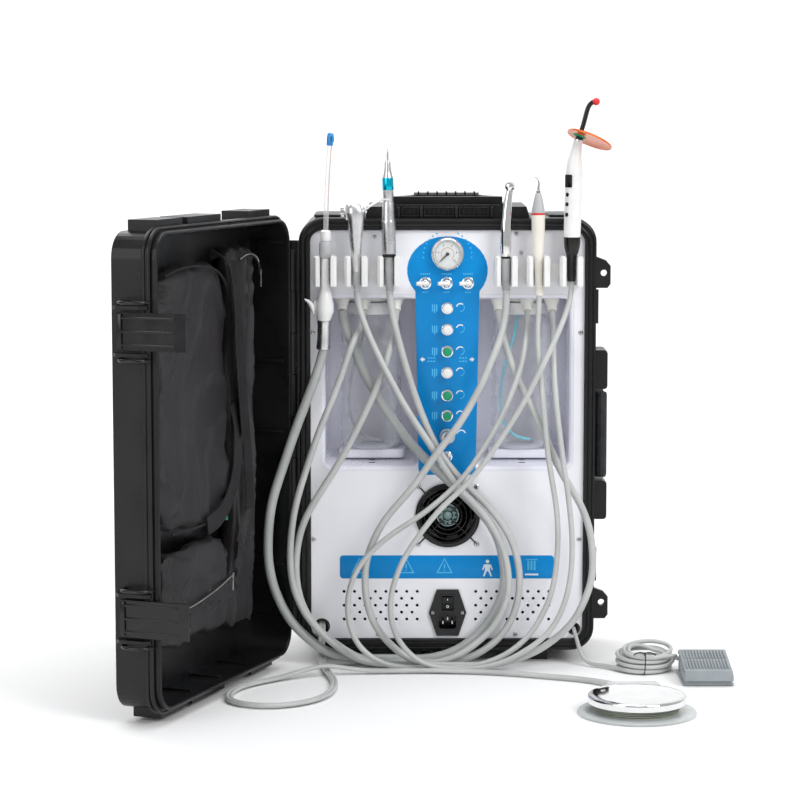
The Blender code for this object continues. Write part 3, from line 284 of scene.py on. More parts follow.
def swept(points, radii, sides=20, flat=1.0, squared=2.0):
    """Round bar through points with a radius at each; squared over 2 gives a boxier section."""
    spots = [Vector(point) for point in points]
    loops = []
    side = None
    for i, spot in enumerate(spots):
        along = (spots[min(i + 1, len(spots) - 1)] - spots[max(i - 1, 0)]).normalized()
        if side is None:
            side = Vector((1, 0, 0)) if abs(along.x) < 0.9 else Vector((0, 1, 0))
        side = (side - along * side.dot(along)).normalized()
        other = along.cross(side)
        loop = []
        for k in range(sides):
            a = math.tau * k / sides
            c, s = math.cos(a), math.sin(a)
            c = math.copysign(abs(c) ** (2.0 / squared), c)
            s = math.copysign(abs(s) ** (2.0 / squared), s)
            loop.append(spot + radii[i] * (c * side + flat * s * other))
        loops.append(loop)
    return loft(loops)


def slab(outline, low, high, axis="Y", edge=0.6, segments=2):
    """Outline extruded along an axis with its edges rounded: (x, z) along Y, (x, y) along Z, (y, z) along X."""
    spot = {"Y": lambda a, b, c: (a, c, b), "Z": lambda a, b, c: (a, b, c),
            "X": lambda a, b, c: (c, a, b)}[axis]
    shape = loft([[spot(a, b, low) for a, b in outline], [spot(a, b, high) for a, b in outline]])
    if edge:
        sharp = [e for e in shape.edges if e.calc_face_angle(0.0) > math.radians(32)]
        bmesh.ops.bevel(shape, geom=sharp, offset=edge, segments=segments, affect="EDGES", profile=0.5)
    return shape


def block(x0, x1, y0, y1, z0, z1, edge=0.6):
    return slab([(x0, z0), (x1, z0), (x1, z1), (x0, z1)], y0, y1, "Y", edge)


def opened(shape):
    """Take off the flat end caps, which have many corners."""
    for cap in [face for face in shape.faces if len(face.verts) > 8]:
        shape.faces.remove(cap)
    return shape


def rim_bead(loop, centre, radius, depth):
    """Round bead that follows an outline in the XZ plane, at a depth along Y."""
    rings = []
    for k in range(8):
        angle = math.tau * k / 8
        ring = []
        for x, z in loop:
            way = Vector((x - centre[0], z - centre[1])).normalized()
            ring.append((x + way.x * radius * math.cos(angle), depth + radius * math.sin(angle),
                         z + way.y * radius * math.cos(angle)))
        rings.append(ring)
    return loft(rings, ring=True)


def tinted(shape, index):
    for face in shape.faces:
        face.material_index = index
    return shape


def joined(shapes):
    total = bmesh.new()
    for shape in shapes:
        mesh = bpy.data.meshes.new("part")
        shape.to_mesh(mesh)
        shape.free()
        total.from_mesh(mesh)
        bpy.data.meshes.remove(mesh)
    return total


def pierced(outline, holes, low, high, edge=0.5):
    """Flat plate in the XZ plane with holes, its edges rounded, from y low to y high."""
    curve = bpy.data.curves.new("plate", "CURVE")
    curve.dimensions = "2D"
    curve.fill_mode = "BOTH"
    curve.extrude = (high - low) / 2 - edge
    curve.bevel_depth = edge
    curve.bevel_resolution = 2
    curve.offset = -edge
    for loop in [outline] + holes:
        spline = curve.splines.new("POLY")
        spline.points.add(len(loop) - 1)
        for slot, (a, b) in zip(spline.points, loop):
            slot.co = (a, b, 0.0, 1.0)
        spline.use_cyclic_u = True
    holder = bpy.data.objects.new("plate", curve)
    bpy.context.scene.collection.objects.link(holder)
    evaluated = holder.evaluated_get(bpy.context.evaluated_depsgraph_get())
    shape = bmesh.new()
    shape.from_mesh(evaluated.to_mesh())
    evaluated.to_mesh_clear()
    bpy.data.objects.remove(holder, do_unlink=True)
    bpy.data.curves.remove(curve)
    for vert in shape.verts:
        vert.co = Vector((vert.co.x, (low + high) / 2 - vert.co.z, vert.co.y))
    bmesh.ops.recalc_face_normals(shape, faces=shape.faces)
    return shape


def piece(name, shape, materials, body, stands_for=(), crease=40.0):
    """Turn a shape in millimetres into a named piece in metres that rides a CAD body."""
    bmesh.ops.scale(shape, vec=(MM, MM, MM), verts=shape.verts)
    mesh = bpy.data.meshes.new(name)
    shape.to_mesh(mesh)
    shape.free()
    mesh.shade_smooth()
    mesh.set_sharp_from_angle(angle=math.radians(crease))
    for material in materials if isinstance(materials, (list, tuple)) else [materials]:
        mesh.materials.append(material)
    made = bpy.data.objects.new(name, mesh)
    bpy.context.scene.collection.objects.link(made)
    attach(made, body)
    if stands_for:
        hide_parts(*stands_for)
    return made


def keep(name, material, width=0.6, segments=2):
    """Carry a CAD node over with its edges rounded and a worked material."""
    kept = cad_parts[name]
    kept.data.materials.clear()
    kept.data.materials.append(material)
    for polygon in kept.data.polygons:
        polygon.material_index = 0
    if width:
        bevel = kept.modifiers.new("rounded_edges", "BEVEL")
        bevel.width = width * MM
        bevel.segments = segments
        bevel.limit_method = "ANGLE"
        bevel.angle_limit = math.radians(32)
        bevel.use_clamp_overlap = True
        bevel.harden_normals = False
    kept.data.shade_smooth()
    kept.data.set_sharp_from_angle(angle=math.radians(40))
    return kept


def smooth_path(points, spacing):
    """Points at an even spacing along a natural cubic spline through the route."""
    route = np.array(points, dtype=float)
    steps = np.linalg.norm(np.diff(route, axis=0), axis=1)
    knots = np.concatenate([[0.0], np.cumsum(steps)])
    count = len(route)
    system = np.eye(count)
    right = np.zeros((count, 3))
    for i in range(1, count - 1):
        before, after = steps[i - 1], steps[i]
        system[i, i - 1] = before
        system[i, i] = 2 * (before + after)
        system[i, i + 1] = after
        right[i] = 6 * ((route[i + 1] - route[i]) / after - (route[i] - route[i - 1]) / before)
    bend = np.linalg.solve(system, right)
    dense = []
    for t in np.linspace(0, knots[-1], 40 * count):
        i = min(int(np.searchsorted(knots, t, side="right")) - 1, count - 2)
        span = steps[i]
        a = (knots[i + 1] - t) / span
        b = 1 - a
        dense.append(a * route[i] + b * route[i + 1]
                     + ((a ** 3 - a) * bend[i] + (b ** 3 - b) * bend[i + 1]) * span ** 2 / 6)
    dense = np.array(dense)
    run = np.concatenate([[0.0], np.cumsum(np.linalg.norm(np.diff(dense, axis=0), axis=1))])
    total = max(2, round(run[-1] / spacing) + 1)
    return [tuple(np.interp(s, run, dense[:, k]) for k in range(3)) for s in np.linspace(0, run[-1], total)]




# ---------------------------------------------------------------- free hoses and cords, routes in metres

SUCTION_ROUTE = [
    (-0.1565, -0.101, 0.4048), (-0.1596, -0.101, 0.392), (-0.168, -0.102, 0.366),
    (-0.189, -0.103, 0.311), (-0.209, -0.104, 0.253), (-0.222, -0.105, 0.21), (-0.227, -0.105, 0.17),
    (-0.227, -0.105, 0.137), (-0.222, -0.105, 0.108), (-0.213, -0.105, 0.083), (-0.198, -0.1055, 0.057),
    (-0.178, -0.1065, 0.036), (-0.157, -0.106, 0.0205), (-0.132, -0.101, 0.011),
    (-0.108, -0.0965, 0.0072), (-0.07, -0.096, 0.0066), (-0.03, -0.096, 0.0066), (0.0, -0.096, 0.013),
    (0.03, -0.096, 0.03), (0.051, -0.096, 0.052), (0.066, -0.096, 0.078), (0.073, -0.096, 0.105),
    (0.072, -0.096, 0.132), (0.066, -0.096, 0.158), (0.054, -0.096, 0.182), (0.036, -0.096, 0.204),
    (0.006, -0.096, 0.233), (-0.03, -0.096, 0.267), (-0.052, -0.095, 0.292), (-0.074, -0.094, 0.322),
    (-0.094, -0.092, 0.354), (-0.108, -0.089, 0.38), (-0.119, -0.088, 0.408), (-0.1275, -0.084, 0.427),
    (-0.1315, -0.079, 0.441), (-0.133, -0.0745, 0.4496)]
SYRINGE_ROUTE = [
    (-0.114, -0.101, 0.4797), (-0.1123, -0.1026, 0.464), (-0.1055, -0.1075, 0.44),
    (-0.093, -0.1125, 0.41), (-0.072, -0.1165, 0.368), (-0.048, -0.1173, 0.325),
    (-0.018, -0.1173, 0.279), (0.014, -0.1173, 0.231), (0.038, -0.1173, 0.206), (0.057, -0.1173, 0.181),
    (0.07, -0.1173, 0.153), (0.077, -0.1173, 0.122), (0.077, -0.1173, 0.098), (0.07, -0.1173, 0.073),
    (0.056, -0.1173, 0.05), (0.035, -0.1173, 0.03), (0.012, -0.1173, 0.015), (-0.014, -0.1173, 0.007),
    (-0.044, -0.1173, 0.0049), (-0.08, -0.1173, 0.0049), (-0.106, -0.1173, 0.0085),
    (-0.128, -0.1173, 0.019), (-0.152, -0.1173, 0.037), (-0.172, -0.1173, 0.058),
    (-0.187, -0.1173, 0.082), (-0.196, -0.1173, 0.109), (-0.199, -0.1173, 0.142),
    (-0.197, -0.1173, 0.176), (-0.19, -0.1173, 0.215), (-0.179, -0.1173, 0.252),
    (-0.166, -0.1173, 0.291), (-0.154, -0.1162, 0.322), (-0.142, -0.115, 0.352), (-0.13, -0.111, 0.384),
    (-0.119, -0.103, 0.414), (-0.1125, -0.094, 0.428), (-0.108, -0.0825, 0.44),
    (-0.1062, -0.0737, 0.4509)]
LOW_SPEED_ROUTE = [
    (-0.073, -0.101, 0.4775), (-0.0715, -0.102, 0.462), (-0.0675, -0.1045, 0.44), (-0.06, -0.107, 0.41),
    (-0.046, -0.108, 0.362), (-0.032, -0.108, 0.322), (-0.011, -0.108, 0.277), (0.011, -0.108, 0.247),
    (0.032, -0.108, 0.225), (0.051, -0.108, 0.206), (0.07, -0.108, 0.182), (0.085, -0.108, 0.152),
    (0.091, -0.108, 0.124), (0.091, -0.108, 0.095), (0.084, -0.108, 0.066), (0.071, -0.108, 0.043),
    (0.05, -0.108, 0.023), (0.024, -0.108, 0.01), (-0.008, -0.108, 0.0052), (-0.05, -0.108, 0.0051),
    (-0.09, -0.108, 0.0055), (-0.114, -0.108, 0.012), (-0.136, -0.108, 0.025), (-0.16, -0.108, 0.044),
    (-0.178, -0.108, 0.067), (-0.188, -0.108, 0.092), (-0.192, -0.108, 0.122), (-0.19, -0.108, 0.154),
    (-0.181, -0.108, 0.187), (-0.165, -0.108, 0.217), (-0.146, -0.108, 0.247), (-0.118, -0.1075, 0.297),
    (-0.099, -0.107, 0.336), (-0.083, -0.1055, 0.374), (-0.074, -0.102, 0.402),
    (-0.0695, -0.0925, 0.422), (-0.0665, -0.082, 0.439), (-0.065, -0.0737, 0.4509)]
HIGH_SPEED_ROUTE = [
    (0.0735, -0.101, 0.4774), (0.0734, -0.103, 0.462), (0.071, -0.108, 0.442), (0.066, -0.115, 0.421),
    (0.055, -0.122, 0.393), (0.043, -0.1268, 0.365), (0.029, -0.1268, 0.338), (0.014, -0.1268, 0.313),
    (-0.003, -0.1268, 0.29), (-0.02, -0.1268, 0.267), (-0.036, -0.1268, 0.244), (-0.058, -0.1268, 0.217),
    (-0.08, -0.1268, 0.19), (-0.095, -0.1268, 0.161), (-0.103, -0.1268, 0.133), (-0.104, -0.1268, 0.107),
    (-0.1, -0.1268, 0.079), (-0.089, -0.1268, 0.053), (-0.071, -0.1268, 0.031), (-0.048, -0.1268, 0.014),
    (-0.02, -0.1268, 0.006), (0.014, -0.1268, 0.0049), (0.052, -0.1268, 0.0055), (0.084, -0.1268, 0.012),
    (0.112, -0.1268, 0.023), (0.136, -0.1268, 0.039), (0.158, -0.1268, 0.061), (0.173, -0.1268, 0.088),
    (0.182, -0.1268, 0.118), (0.183, -0.1268, 0.148), (0.178, -0.1268, 0.182), (0.167, -0.1268, 0.211),
    (0.153, -0.1268, 0.235), (0.143, -0.1268, 0.252), (0.133, -0.1268, 0.273), (0.116, -0.125, 0.311),
    (0.101, -0.121, 0.342), (0.087, -0.114, 0.371), (0.077, -0.104, 0.398), (0.07, -0.0925, 0.421),
    (0.0667, -0.082, 0.439), (0.065, -0.0737, 0.4509)]
SCALER_ROUTE = [
    (0.1149, -0.101, 0.4724), (0.1144, -0.104, 0.458), (0.113, -0.112, 0.435), (0.1134, -0.122, 0.405),
    (0.116, -0.13, 0.372), (0.119, -0.134, 0.34), (0.122, -0.1356, 0.308), (0.126, -0.1356, 0.272),
    (0.132, -0.1356, 0.236), (0.137, -0.1356, 0.202), (0.1385, -0.1356, 0.166), (0.1365, -0.1356, 0.132),
    (0.13, -0.1356, 0.098), (0.119, -0.1356, 0.071), (0.103, -0.1356, 0.046), (0.081, -0.1356, 0.026),
    (0.054, -0.1356, 0.012), (0.024, -0.1356, 0.0048), (-0.01, -0.1356, 0.0039),
    (-0.046, -0.1356, 0.0039), (-0.076, -0.1356, 0.008), (-0.098, -0.1356, 0.019),
    (-0.114, -0.1356, 0.036), (-0.123, -0.1356, 0.057), (-0.126, -0.1356, 0.081),
    (-0.123, -0.1356, 0.106), (-0.112, -0.1356, 0.132), (-0.093, -0.1356, 0.155),
    (-0.067, -0.1356, 0.177), (-0.038, -0.1356, 0.196), (-0.01, -0.1356, 0.218), (0.016, -0.1356, 0.243),
    (0.036, -0.1356, 0.27), (0.055, -0.1356, 0.301), (0.071, -0.1335, 0.332), (0.083, -0.129, 0.361),
    (0.0915, -0.121, 0.385), (0.097, -0.109, 0.41), (0.0998, -0.094, 0.427), (0.1008, -0.0825, 0.44),
    (0.101, -0.0737, 0.4509)]
CURING_ROUTE = [
    (0.1553, -0.101, 0.4896), (0.1546, -0.103, 0.476), (0.1495, -0.112, 0.456), (0.139, -0.124, 0.431),
    (0.125, -0.135, 0.402), (0.108, -0.141, 0.368), (0.089, -0.1432, 0.333), (0.067, -0.1432, 0.298),
    (0.043, -0.1432, 0.263), (0.02, -0.1432, 0.236), (-0.007, -0.1432, 0.21), (-0.032, -0.1432, 0.18),
    (-0.052, -0.1432, 0.15), (-0.065, -0.1432, 0.121), (-0.0715, -0.1432, 0.093),
    (-0.071, -0.1432, 0.067), (-0.062, -0.1432, 0.042), (-0.046, -0.1432, 0.022),
    (-0.022, -0.1432, 0.008), (0.006, -0.1432, 0.0039), (0.036, -0.1432, 0.0046),
    (0.068, -0.1432, 0.012), (0.099, -0.1432, 0.028), (0.127, -0.1432, 0.051), (0.145, -0.1432, 0.083),
    (0.154, -0.1432, 0.121), (0.156, -0.1432, 0.165), (0.152, -0.1432, 0.214), (0.146, -0.1432, 0.256),
    (0.139, -0.142, 0.306), (0.135, -0.138, 0.344), (0.133, -0.128, 0.378), (0.1325, -0.113, 0.408),
    (0.1328, -0.095, 0.427), (0.133, -0.0825, 0.44), (0.133, -0.0737, 0.4509)]
FOOT_TUBE_ROUTE = [
    (-0.16, -0.066, 0.058), (-0.16, -0.072, 0.0535), (-0.16, -0.0785, 0.047), (-0.1602, -0.085, 0.0395),
    (-0.1605, -0.09, 0.03), (-0.1608, -0.0928, 0.021), (-0.1606, -0.0965, 0.0135),
    (-0.1595, -0.106, 0.007), (-0.1575, -0.119, 0.0043), (-0.152, -0.155, 0.0039),
    (-0.145, -0.19, 0.0039), (-0.141, -0.225, 0.0039), (-0.143, -0.262, 0.0039),
    (-0.153, -0.297, 0.0039), (-0.174, -0.326, 0.0039), (-0.205, -0.343, 0.0039),
    (-0.236, -0.34, 0.0039), (-0.259, -0.322, 0.0039), (-0.266, -0.29, 0.0039), (-0.259, -0.255, 0.0039),
    (-0.238, -0.222, 0.0039), (-0.208, -0.194, 0.0045), (-0.18, -0.175, 0.009), (-0.155, -0.163, 0.0116),
    (-0.128, -0.157, 0.008), (-0.098, -0.154, 0.004), (-0.058, -0.152, 0.0039), (-0.01, -0.152, 0.0039),
    (0.038, -0.157, 0.0039), (0.084, -0.168, 0.0039), (0.126, -0.184, 0.0039), (0.16, -0.198, 0.0039),
    (0.186, -0.215, 0.0041), (0.204, -0.238, 0.0055), (0.213, -0.263, 0.008), (0.216, -0.2884, 0.0095)]
FOOT_SWITCH_ROUTE = [
    (0.163, -0.079, 0.043), (0.1632, -0.0855, 0.042), (0.1645, -0.0915, 0.037), (0.167, -0.0958, 0.028),
    (0.17, -0.0995, 0.018), (0.175, -0.1045, 0.009), (0.183, -0.111, 0.004), (0.193, -0.1185, 0.0034),
    (0.207, -0.125, 0.0065)]

TWIN_TUBE_WIDTH = 9.4 * MM


def tube_curve(name, points, diameter, material):
    curve = bpy.data.curves.new(name, "CURVE")
    curve.dimensions = "3D"
    curve.bevel_depth = diameter / 2
    curve.bevel_resolution = 6
    curve.resolution_u = 1
    curve.use_fill_caps = True
    spline = curve.splines.new("POLY")
    spline.points.add(len(points) - 1)
    for slot, point in zip(spline.points, points):
        slot.co = (*point, 1.0)
    spline.use_smooth = True
    curve.materials.append(material)
    made = bpy.data.objects.new(name, curve)
    bpy.context.scene.collection.objects.link(made)
    return made


def make_hoses():
    for name, route, diameter, material in (
            ("suction_hose", SUCTION_ROUTE, 12.0 * MM, HOSE_DARK),
            ("syringe_hose", SYRINGE_ROUTE, 8.5 * MM, HOSE),
            ("low_speed_hose", LOW_SPEED_ROUTE, 9.0 * MM, HOSE),
            ("high_speed_hose", HIGH_SPEED_ROUTE, 9.0 * MM, HOSE),
            ("scaler_hose", SCALER_ROUTE, 7.0 * MM, HOSE),
            ("curing_light_cable", CURING_ROUTE, 7.0 * MM, HOSE)):
        tube = tube_curve(name + "_tube", smooth_path(route, 0.005), diameter, material)
        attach(tube, "case")
        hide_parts(name)


def make_twin_tube():
    """Two tubes side by side from the panel to the foot control, lying flat on the floor."""
    path = [Vector(point) for point in smooth_path(FOOT_TUBE_ROUTE, 0.004)]
    radius = TWIN_TUBE_WIDTH / 4
    section = []
    for centre, start in ((radius, -140.0), (-radius, 40.0)):
        for i in range(15):
            angle = math.radians(start + 20.0 * i)
            section.append((centre + radius * math.cos(angle), radius * math.sin(angle)))
    loops = []
    side = Vector((1, 0, 0))
    for i, spot in enumerate(path):
        along = (path[min(i + 1, len(path) - 1)] - path[max(i - 1, 0)]).normalized()
        level = along.cross(Vector((0, 0, 1)))
        if level.length > 0.5:
            level = level.normalized() if level.dot(side) > 0 else -level.normalized()
            side = side.lerp(level, 0.35)
        side = (side - along * side.dot(along)).normalized()
        other = along.cross(side)
        loops.append([(spot + a * side + b * other) / MM for a, b in section])
    tube = piece("foot_control_twin_tube", loft(loops), HOSE, "case", ("foot_control_tube",))


HANK_CENTRE = (0.2475, -0.127)
HANK_HALF = (0.0362, 0.0325)
HANK_START_DEG, HANK_END_DEG = 214.0, 305.0
SWITCH_CORD = 5.3 * MM
HANK_PITCH = 5.7 * MM
HANK_LAYERS = 4
HANK_TURNS_PER_LAYER = 2
BOOT_TIP = (0.2985, -0.1225, 0.0125)
BOOT_TIP_MM = tuple(c / MM for c in BOOT_TIP)


def hank_points():
    """Turns of the foot switch cable, spiralling in and out, one layer on another."""
    points = []
    angle = HANK_START_DEG
    inset = 0.0
    level = SWITCH_CORD / 2 + 0.0009
    step = 360.0 / 26

    def add_point():
        lean = (level - 0.003) * 0.25
        wave = 1.0 + 0.035 * math.sin(math.radians(3 * angle + 40))
        a = math.radians(angle)
        rear = (0.5 + 0.5 * math.sin(a)) ** 1.3
        stack = (level - SWITCH_CORD / 2) / HANK_PITCH
        drift = rear * stack * 0.0016 * math.sin(stack * 2.3 + 0.5)
        points.append((HANK_CENTRE[0] + lean + drift + (HANK_HALF[0] - inset) * wave * math.cos(a),
                       HANK_CENTRE[1] + (HANK_HALF[1] - inset) * wave * math.sin(a) - rear * stack * 0.0015,
                       level + 0.0004 * math.sin(a * 2) + rear * stack * 0.0036))

    for layer in range(HANK_LAYERS):
        way = 1 if layer % 2 == 0 else -1
        turns = HANK_TURNS_PER_LAYER * 360.0
        if layer == HANK_LAYERS - 1:
            turns = (HANK_END_DEG - angle) % 360.0 + 360.0
        count = round(turns / step)
        for _ in range(count):
            add_point()
            angle += turns / count
            inset += way * HANK_PITCH * (turns / 360.0) / count
        if layer < HANK_LAYERS - 1:
            climb = 8
            for i in range(climb):
                add_point()
                angle += 100.0 / climb
                level += HANK_PITCH / climb
    add_point()
    return points


def make_switch_cable():
    turns = hank_points()
    last = Vector(turns[-1])
    heading = (last - Vector(turns[-3])).normalized()
    away = last + heading * 0.017
    route = FOOT_SWITCH_ROUTE[:-2] + [(0.1925, -0.1178, 0.0034), (0.2035, -0.1265, 0.0036)]
    route += turns
    route += [tuple(away), (0.2885, -0.1350, away.z - 0.0035), (0.2920, -0.1275, 0.0140), BOOT_TIP]
    path = smooth_path(route, 0.003)
    cable = tube_curve("foot_switch_cord", path, SWITCH_CORD, HOSE)
    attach(cable, "case")
    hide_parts("foot_switch_cable", "foot_switch_hank")
    ties = []
    loop = [(247.0 + 0.6 * math.sin(t), -158.6 + 10.6 * math.cos(t), 13.6 + 13.4 * math.sin(t))
            for t in (math.tau * k / 40 for k in range(41))]
    ties.append(swept(loop, [0.7] * len(loop), 8))
    for lean in (-1, 1):
        tail = [(247.0, -158.0, 27.0), (247.0 + 4 * lean, -159.0, 28.6), (247.0 + 10 * lean, -160.0, 27.9),
                (247.0 + 14 * lean, -161.5, 25.6)]
        tail = [(x, y, z - 0.4) for x, y, z in smooth_path(tail, 1.0)]
        ties.append(swept(tail, [0.7] * len(tail), 8))
    tie = piece("cable_tie", joined(ties), SATIN_BLACK, "case")


# ---------------------------------------------------------------- soft bags in the lid

LID_TURN = math.radians(-LID_OPEN_DEG)


def out_of_lid(u, v, z):
    """Lid coordinates (along the lid from the hinge, out of the lid, up) to the CAD frame, in millimetres."""
    return Vector((HINGE[0] + u * math.cos(LID_TURN) - v * math.sin(LID_TURN),
                   HINGE[1] + u * math.sin(LID_TURN) + v * math.cos(LID_TURN), z))


def swung(shape):
    """Move a shape drawn in lid coordinates into the CAD frame."""
    for vert in shape.verts:
        vert.co = out_of_lid(*vert.co)
    bmesh.ops.recalc_face_normals(shape, faces=shape.faces)
    return shape


def simulated(shape, pressure, cap, frames=18):
    """Let a closed cloth shell swell under pressure, moving no point further than cap millimetres."""
    mesh = bpy.data.meshes.new("cloth")
    bmesh.ops.scale(shape, vec=(MM, MM, MM), verts=shape.verts)
    shape.to_mesh(mesh)
    shape.free()
    cloth_object = bpy.data.objects.new("cloth", mesh)
    bpy.context.scene.collection.objects.link(cloth_object)
    remesh = cloth_object.modifiers.new("remesh", "REMESH")
    remesh.mode = "VOXEL"
    remesh.voxel_size = 0.0055
    evaluated = cloth_object.evaluated_get(bpy.context.evaluated_depsgraph_get())
    even = bpy.data.meshes.new_from_object(evaluated)
    cloth_object.modifiers.clear()
    cloth_object.data = even
    start = np.array([v.co for v in even.vertices])
    cloth = cloth_object.modifiers.new("cloth", "CLOTH")
    cloth.settings.use_pressure = True
    cloth.settings.uniform_pressure_force = pressure
    cloth.settings.effector_weights.gravity = 0.0
    cloth.settings.quality = 4
    cloth.settings.bending_stiffness = 0.15
    cloth.settings.shrink_min = -0.06
    cloth.point_cache.frame_end = frames
    for number in range(1, frames + 1):
        bpy.context.scene.frame_set(number)
    evaluated = cloth_object.evaluated_get(bpy.context.evaluated_depsgraph_get())
    moved = np.array([v.co for v in evaluated.data.vertices])
    shift = moved - start
    far = np.linalg.norm(shift, axis=1, keepdims=True)
    shift *= np.minimum(1.0, cap * MM / np.maximum(far, 1e-9))
    even.vertices.foreach_set("co", (start + shift).astype(np.float32).ravel())
    cloth_object.modifiers.clear()
    bpy.context.scene.frame_set(1)
    result = bmesh.new()
    result.from_mesh(even)
    bpy.data.objects.remove(cloth_object, do_unlink=True)
    bmesh.ops.scale(result, vec=(1 / MM, 1 / MM, 1 / MM), verts=result.verts)
    bmesh.ops.smooth_vert(result, verts=result.verts, factor=0.5, use_axis_x=True, use_axis_y=True,
                          use_axis_z=True)
    bmesh.ops.subdivide_edges(result, edges=result.edges, cuts=1, use_grid_fill=True, smooth=0.0)
    bmesh.ops.smooth_vert(result, verts=result.verts, factor=0.5, use_axis_x=True, use_axis_y=True,
                          use_axis_z=True)
    return result


def creased(shape, stretch, size, depth, seed):
    """Press soft ridged folds into a shape; stretch sets which way they run."""
    bmesh.ops.recalc_face_normals(shape, faces=shape.faces)
    shape.normal_update()
    moves = []
    for vert in shape.verts:
        spot = Vector([c * k / size for c, k in zip(vert.co, stretch)]) + Vector((seed, seed * 2, 0))
        ridge = 1.0 - abs(noise.noise(spot)) * 2.2
        broad = noise.noise(spot * 0.37)
        moves.append(vert.normal * depth * (0.75 * ridge * ridge * ridge + 0.9 * broad - 0.55))
    for vert, move in zip(shape.verts, moves):
        vert.co += move
    return shape


def clamped(shape, low, high):
    """Keep a soft shape between two depths in the lid."""
    for vert in shape.verts:
        vert.co.y = min(max(vert.co.y, low), high)
    return shape


def band(points, width, thick, out=(0, 1, 0)):
    """Flat strap along points, lying in the lid's plane."""
    spots = [Vector(p) for p in points]
    loops = []
    for i, spot in enumerate(spots):
        along = (spots[min(i + 1, len(spots) - 1)] - spots[max(i - 1, 0)]).normalized()
        up = Vector(out)
        side = along.cross(up).normalized()
        up = side.cross(along).normalized()
        section = rounded(0, 0, width, thick, thick * 0.45, 3)
        loops.append([spot + side * a + up * b for a, b in section])
    return loft(loops)


def zip_line(points, width=1.9):
    """A closed zip: a raised tape with its row of teeth, and a pull at its end."""
    run = smooth_path(points, 2.6)
    parts = [tinted(band(run, width * 2.6, 0.9), 0)]
    for i, spot in enumerate(run[1:-1]):
        ahead = Vector(run[i + 2]) - Vector(run[i])
        across = ahead.normalized().cross(Vector((0, 1, 0)))
        a = Vector(spot) - across * width * 0.3
        b = Vector(spot) + across * width * 0.3
        parts.append(tinted(swept([a + Vector((0, 0.7, 0)), b + Vector((0, 0.7, 0))], [0.75, 0.75], 6), 1))
    end = Vector(run[-2])
    parts.append(tinted(block(end.x - 2.2, end.x + 2.2, end.y + 0.4, end.y + 2.4, end.z - 4, end.z + 3), 1))
    parts.append(tinted(block(end.x - 1.5, end.x + 1.5, end.y + 1.2, end.y + 2.2, end.z - 19, end.z - 3), 1))
    return joined(parts)


def make_tool_bag():
    shape = slab(rounded(249, 367.5, 196, 313, 52), -41.0, -19.0, "Y", 9.0, 4)
    shape = simulated(shape, 3.5, 6.0)
    shape = creased(shape, (1.0, 0.6, 0.62), 58.0, 6.4, 4.1)
    for vert in shape.verts:
        pinch = math.exp(-((vert.co.z - 372) / 26) ** 2) * max(0.0, (vert.co.x - 170) / 180)
        gather = math.exp(-((vert.co.x - 330) / 20) ** 2) * math.exp(-((vert.co.z - 500) / 30) ** 2)
        if vert.co.y > -30:
            vert.co.y -= 3.0 * pinch + 5.0 * gather * (0.5 + 0.5 * math.sin(vert.co.z * 0.55))
    shape = clamped(shape, -50.0, -7.0)
    bag = piece("tool_bag_cloth", swung(shape), NYLON, "lid", ("tool_bag",), 80)

    piping = []
    loop = smooth_path([(332, -14.0, 516), (290, -12.0, 523), (235, -11.0, 522), (190, -11.0, 511),
                        (163, -11.5, 484), (155, -12.0, 440), (154, -12.0, 390), (155, -12.0, 330),
                        (158, -12.0, 275), (170, -12.0, 238), (200, -12.0, 219), (250, -13.0, 213),
                        (320, -14.0, 214)], 4.0)
    piping.append(swept(loop, [1.5] * len(loop), 8))
    piece("bag_piping", swung(joined(piping)), WEBBING, "lid")
    strap = smooth_path([(176, -30.0, 533), (170, -14.0, 529), (164, -7.0, 505), (161, -5.0, 470),
                         (159, -4.5, 430), (155, -4.0, 385), (147, -4.5, 340), (139, -6.0, 312)], 5.0)
    lower = smooth_path([(158, -9.0, 352), (150, -7.5, 330), (149, -7.0, 300), (155, -7.0, 268),
                         (172, -7.0, 240), (198, -8.0, 220), (232, -10.0, 211)], 5.0)
    piece("bag_straps", swung(joined([band(strap, 19.0, 1.8, (-0.45, 1, 0)), band(lower, 23.0, 1.8)])),
          WEBBING, "lid")


def make_side_bag():
    shape = slab(rounded(101, 300, 78, 462, 14), -43.0, -24.0, "Y", 7.0, 3)
    shape = simulated(shape, 3.0, 6.0)
    shape = creased(shape, (1.0, 0.5, 0.16), 24.0, 7.6, 7.7)
    for vert in shape.verts:
        sag = math.sin((vert.co.z - 60) / 470 * math.pi)
        vert.co.x += 5.0 * math.sin(vert.co.z * 0.021 + 0.6) * sag
        if vert.co.y > -33:
            vert.co.y += 4.0 * math.sin(vert.co.x * 0.16 + vert.co.z * 0.006) * sag
    shape = clamped(shape, -50.0, -11.0)
    bag = piece("side_bag_cloth", swung(shape), NYLON, "lid", ("lid_organiser",), 80)
    top_zip = zip_line([(124, -15.0, 524), (104, -14.0, 529), (84, -14.0, 527), (68, -15.0, 518),
                        (63, -15.0, 503)])
    piece("side_bag_zip", swung(top_zip), [WEBBING, STEEL], "lid")
    flap = smooth_path([(141, -17, 524), (138, -12, 470), (133, -10, 400), (124, -9.5, 330),
                        (112, -10, 262), (104, -12, 214)], 6.0)
    piece("side_bag_flap", swung(band(flap, 15.0, 1.6, (0.35, 1, 0))), WEBBING, "lid")


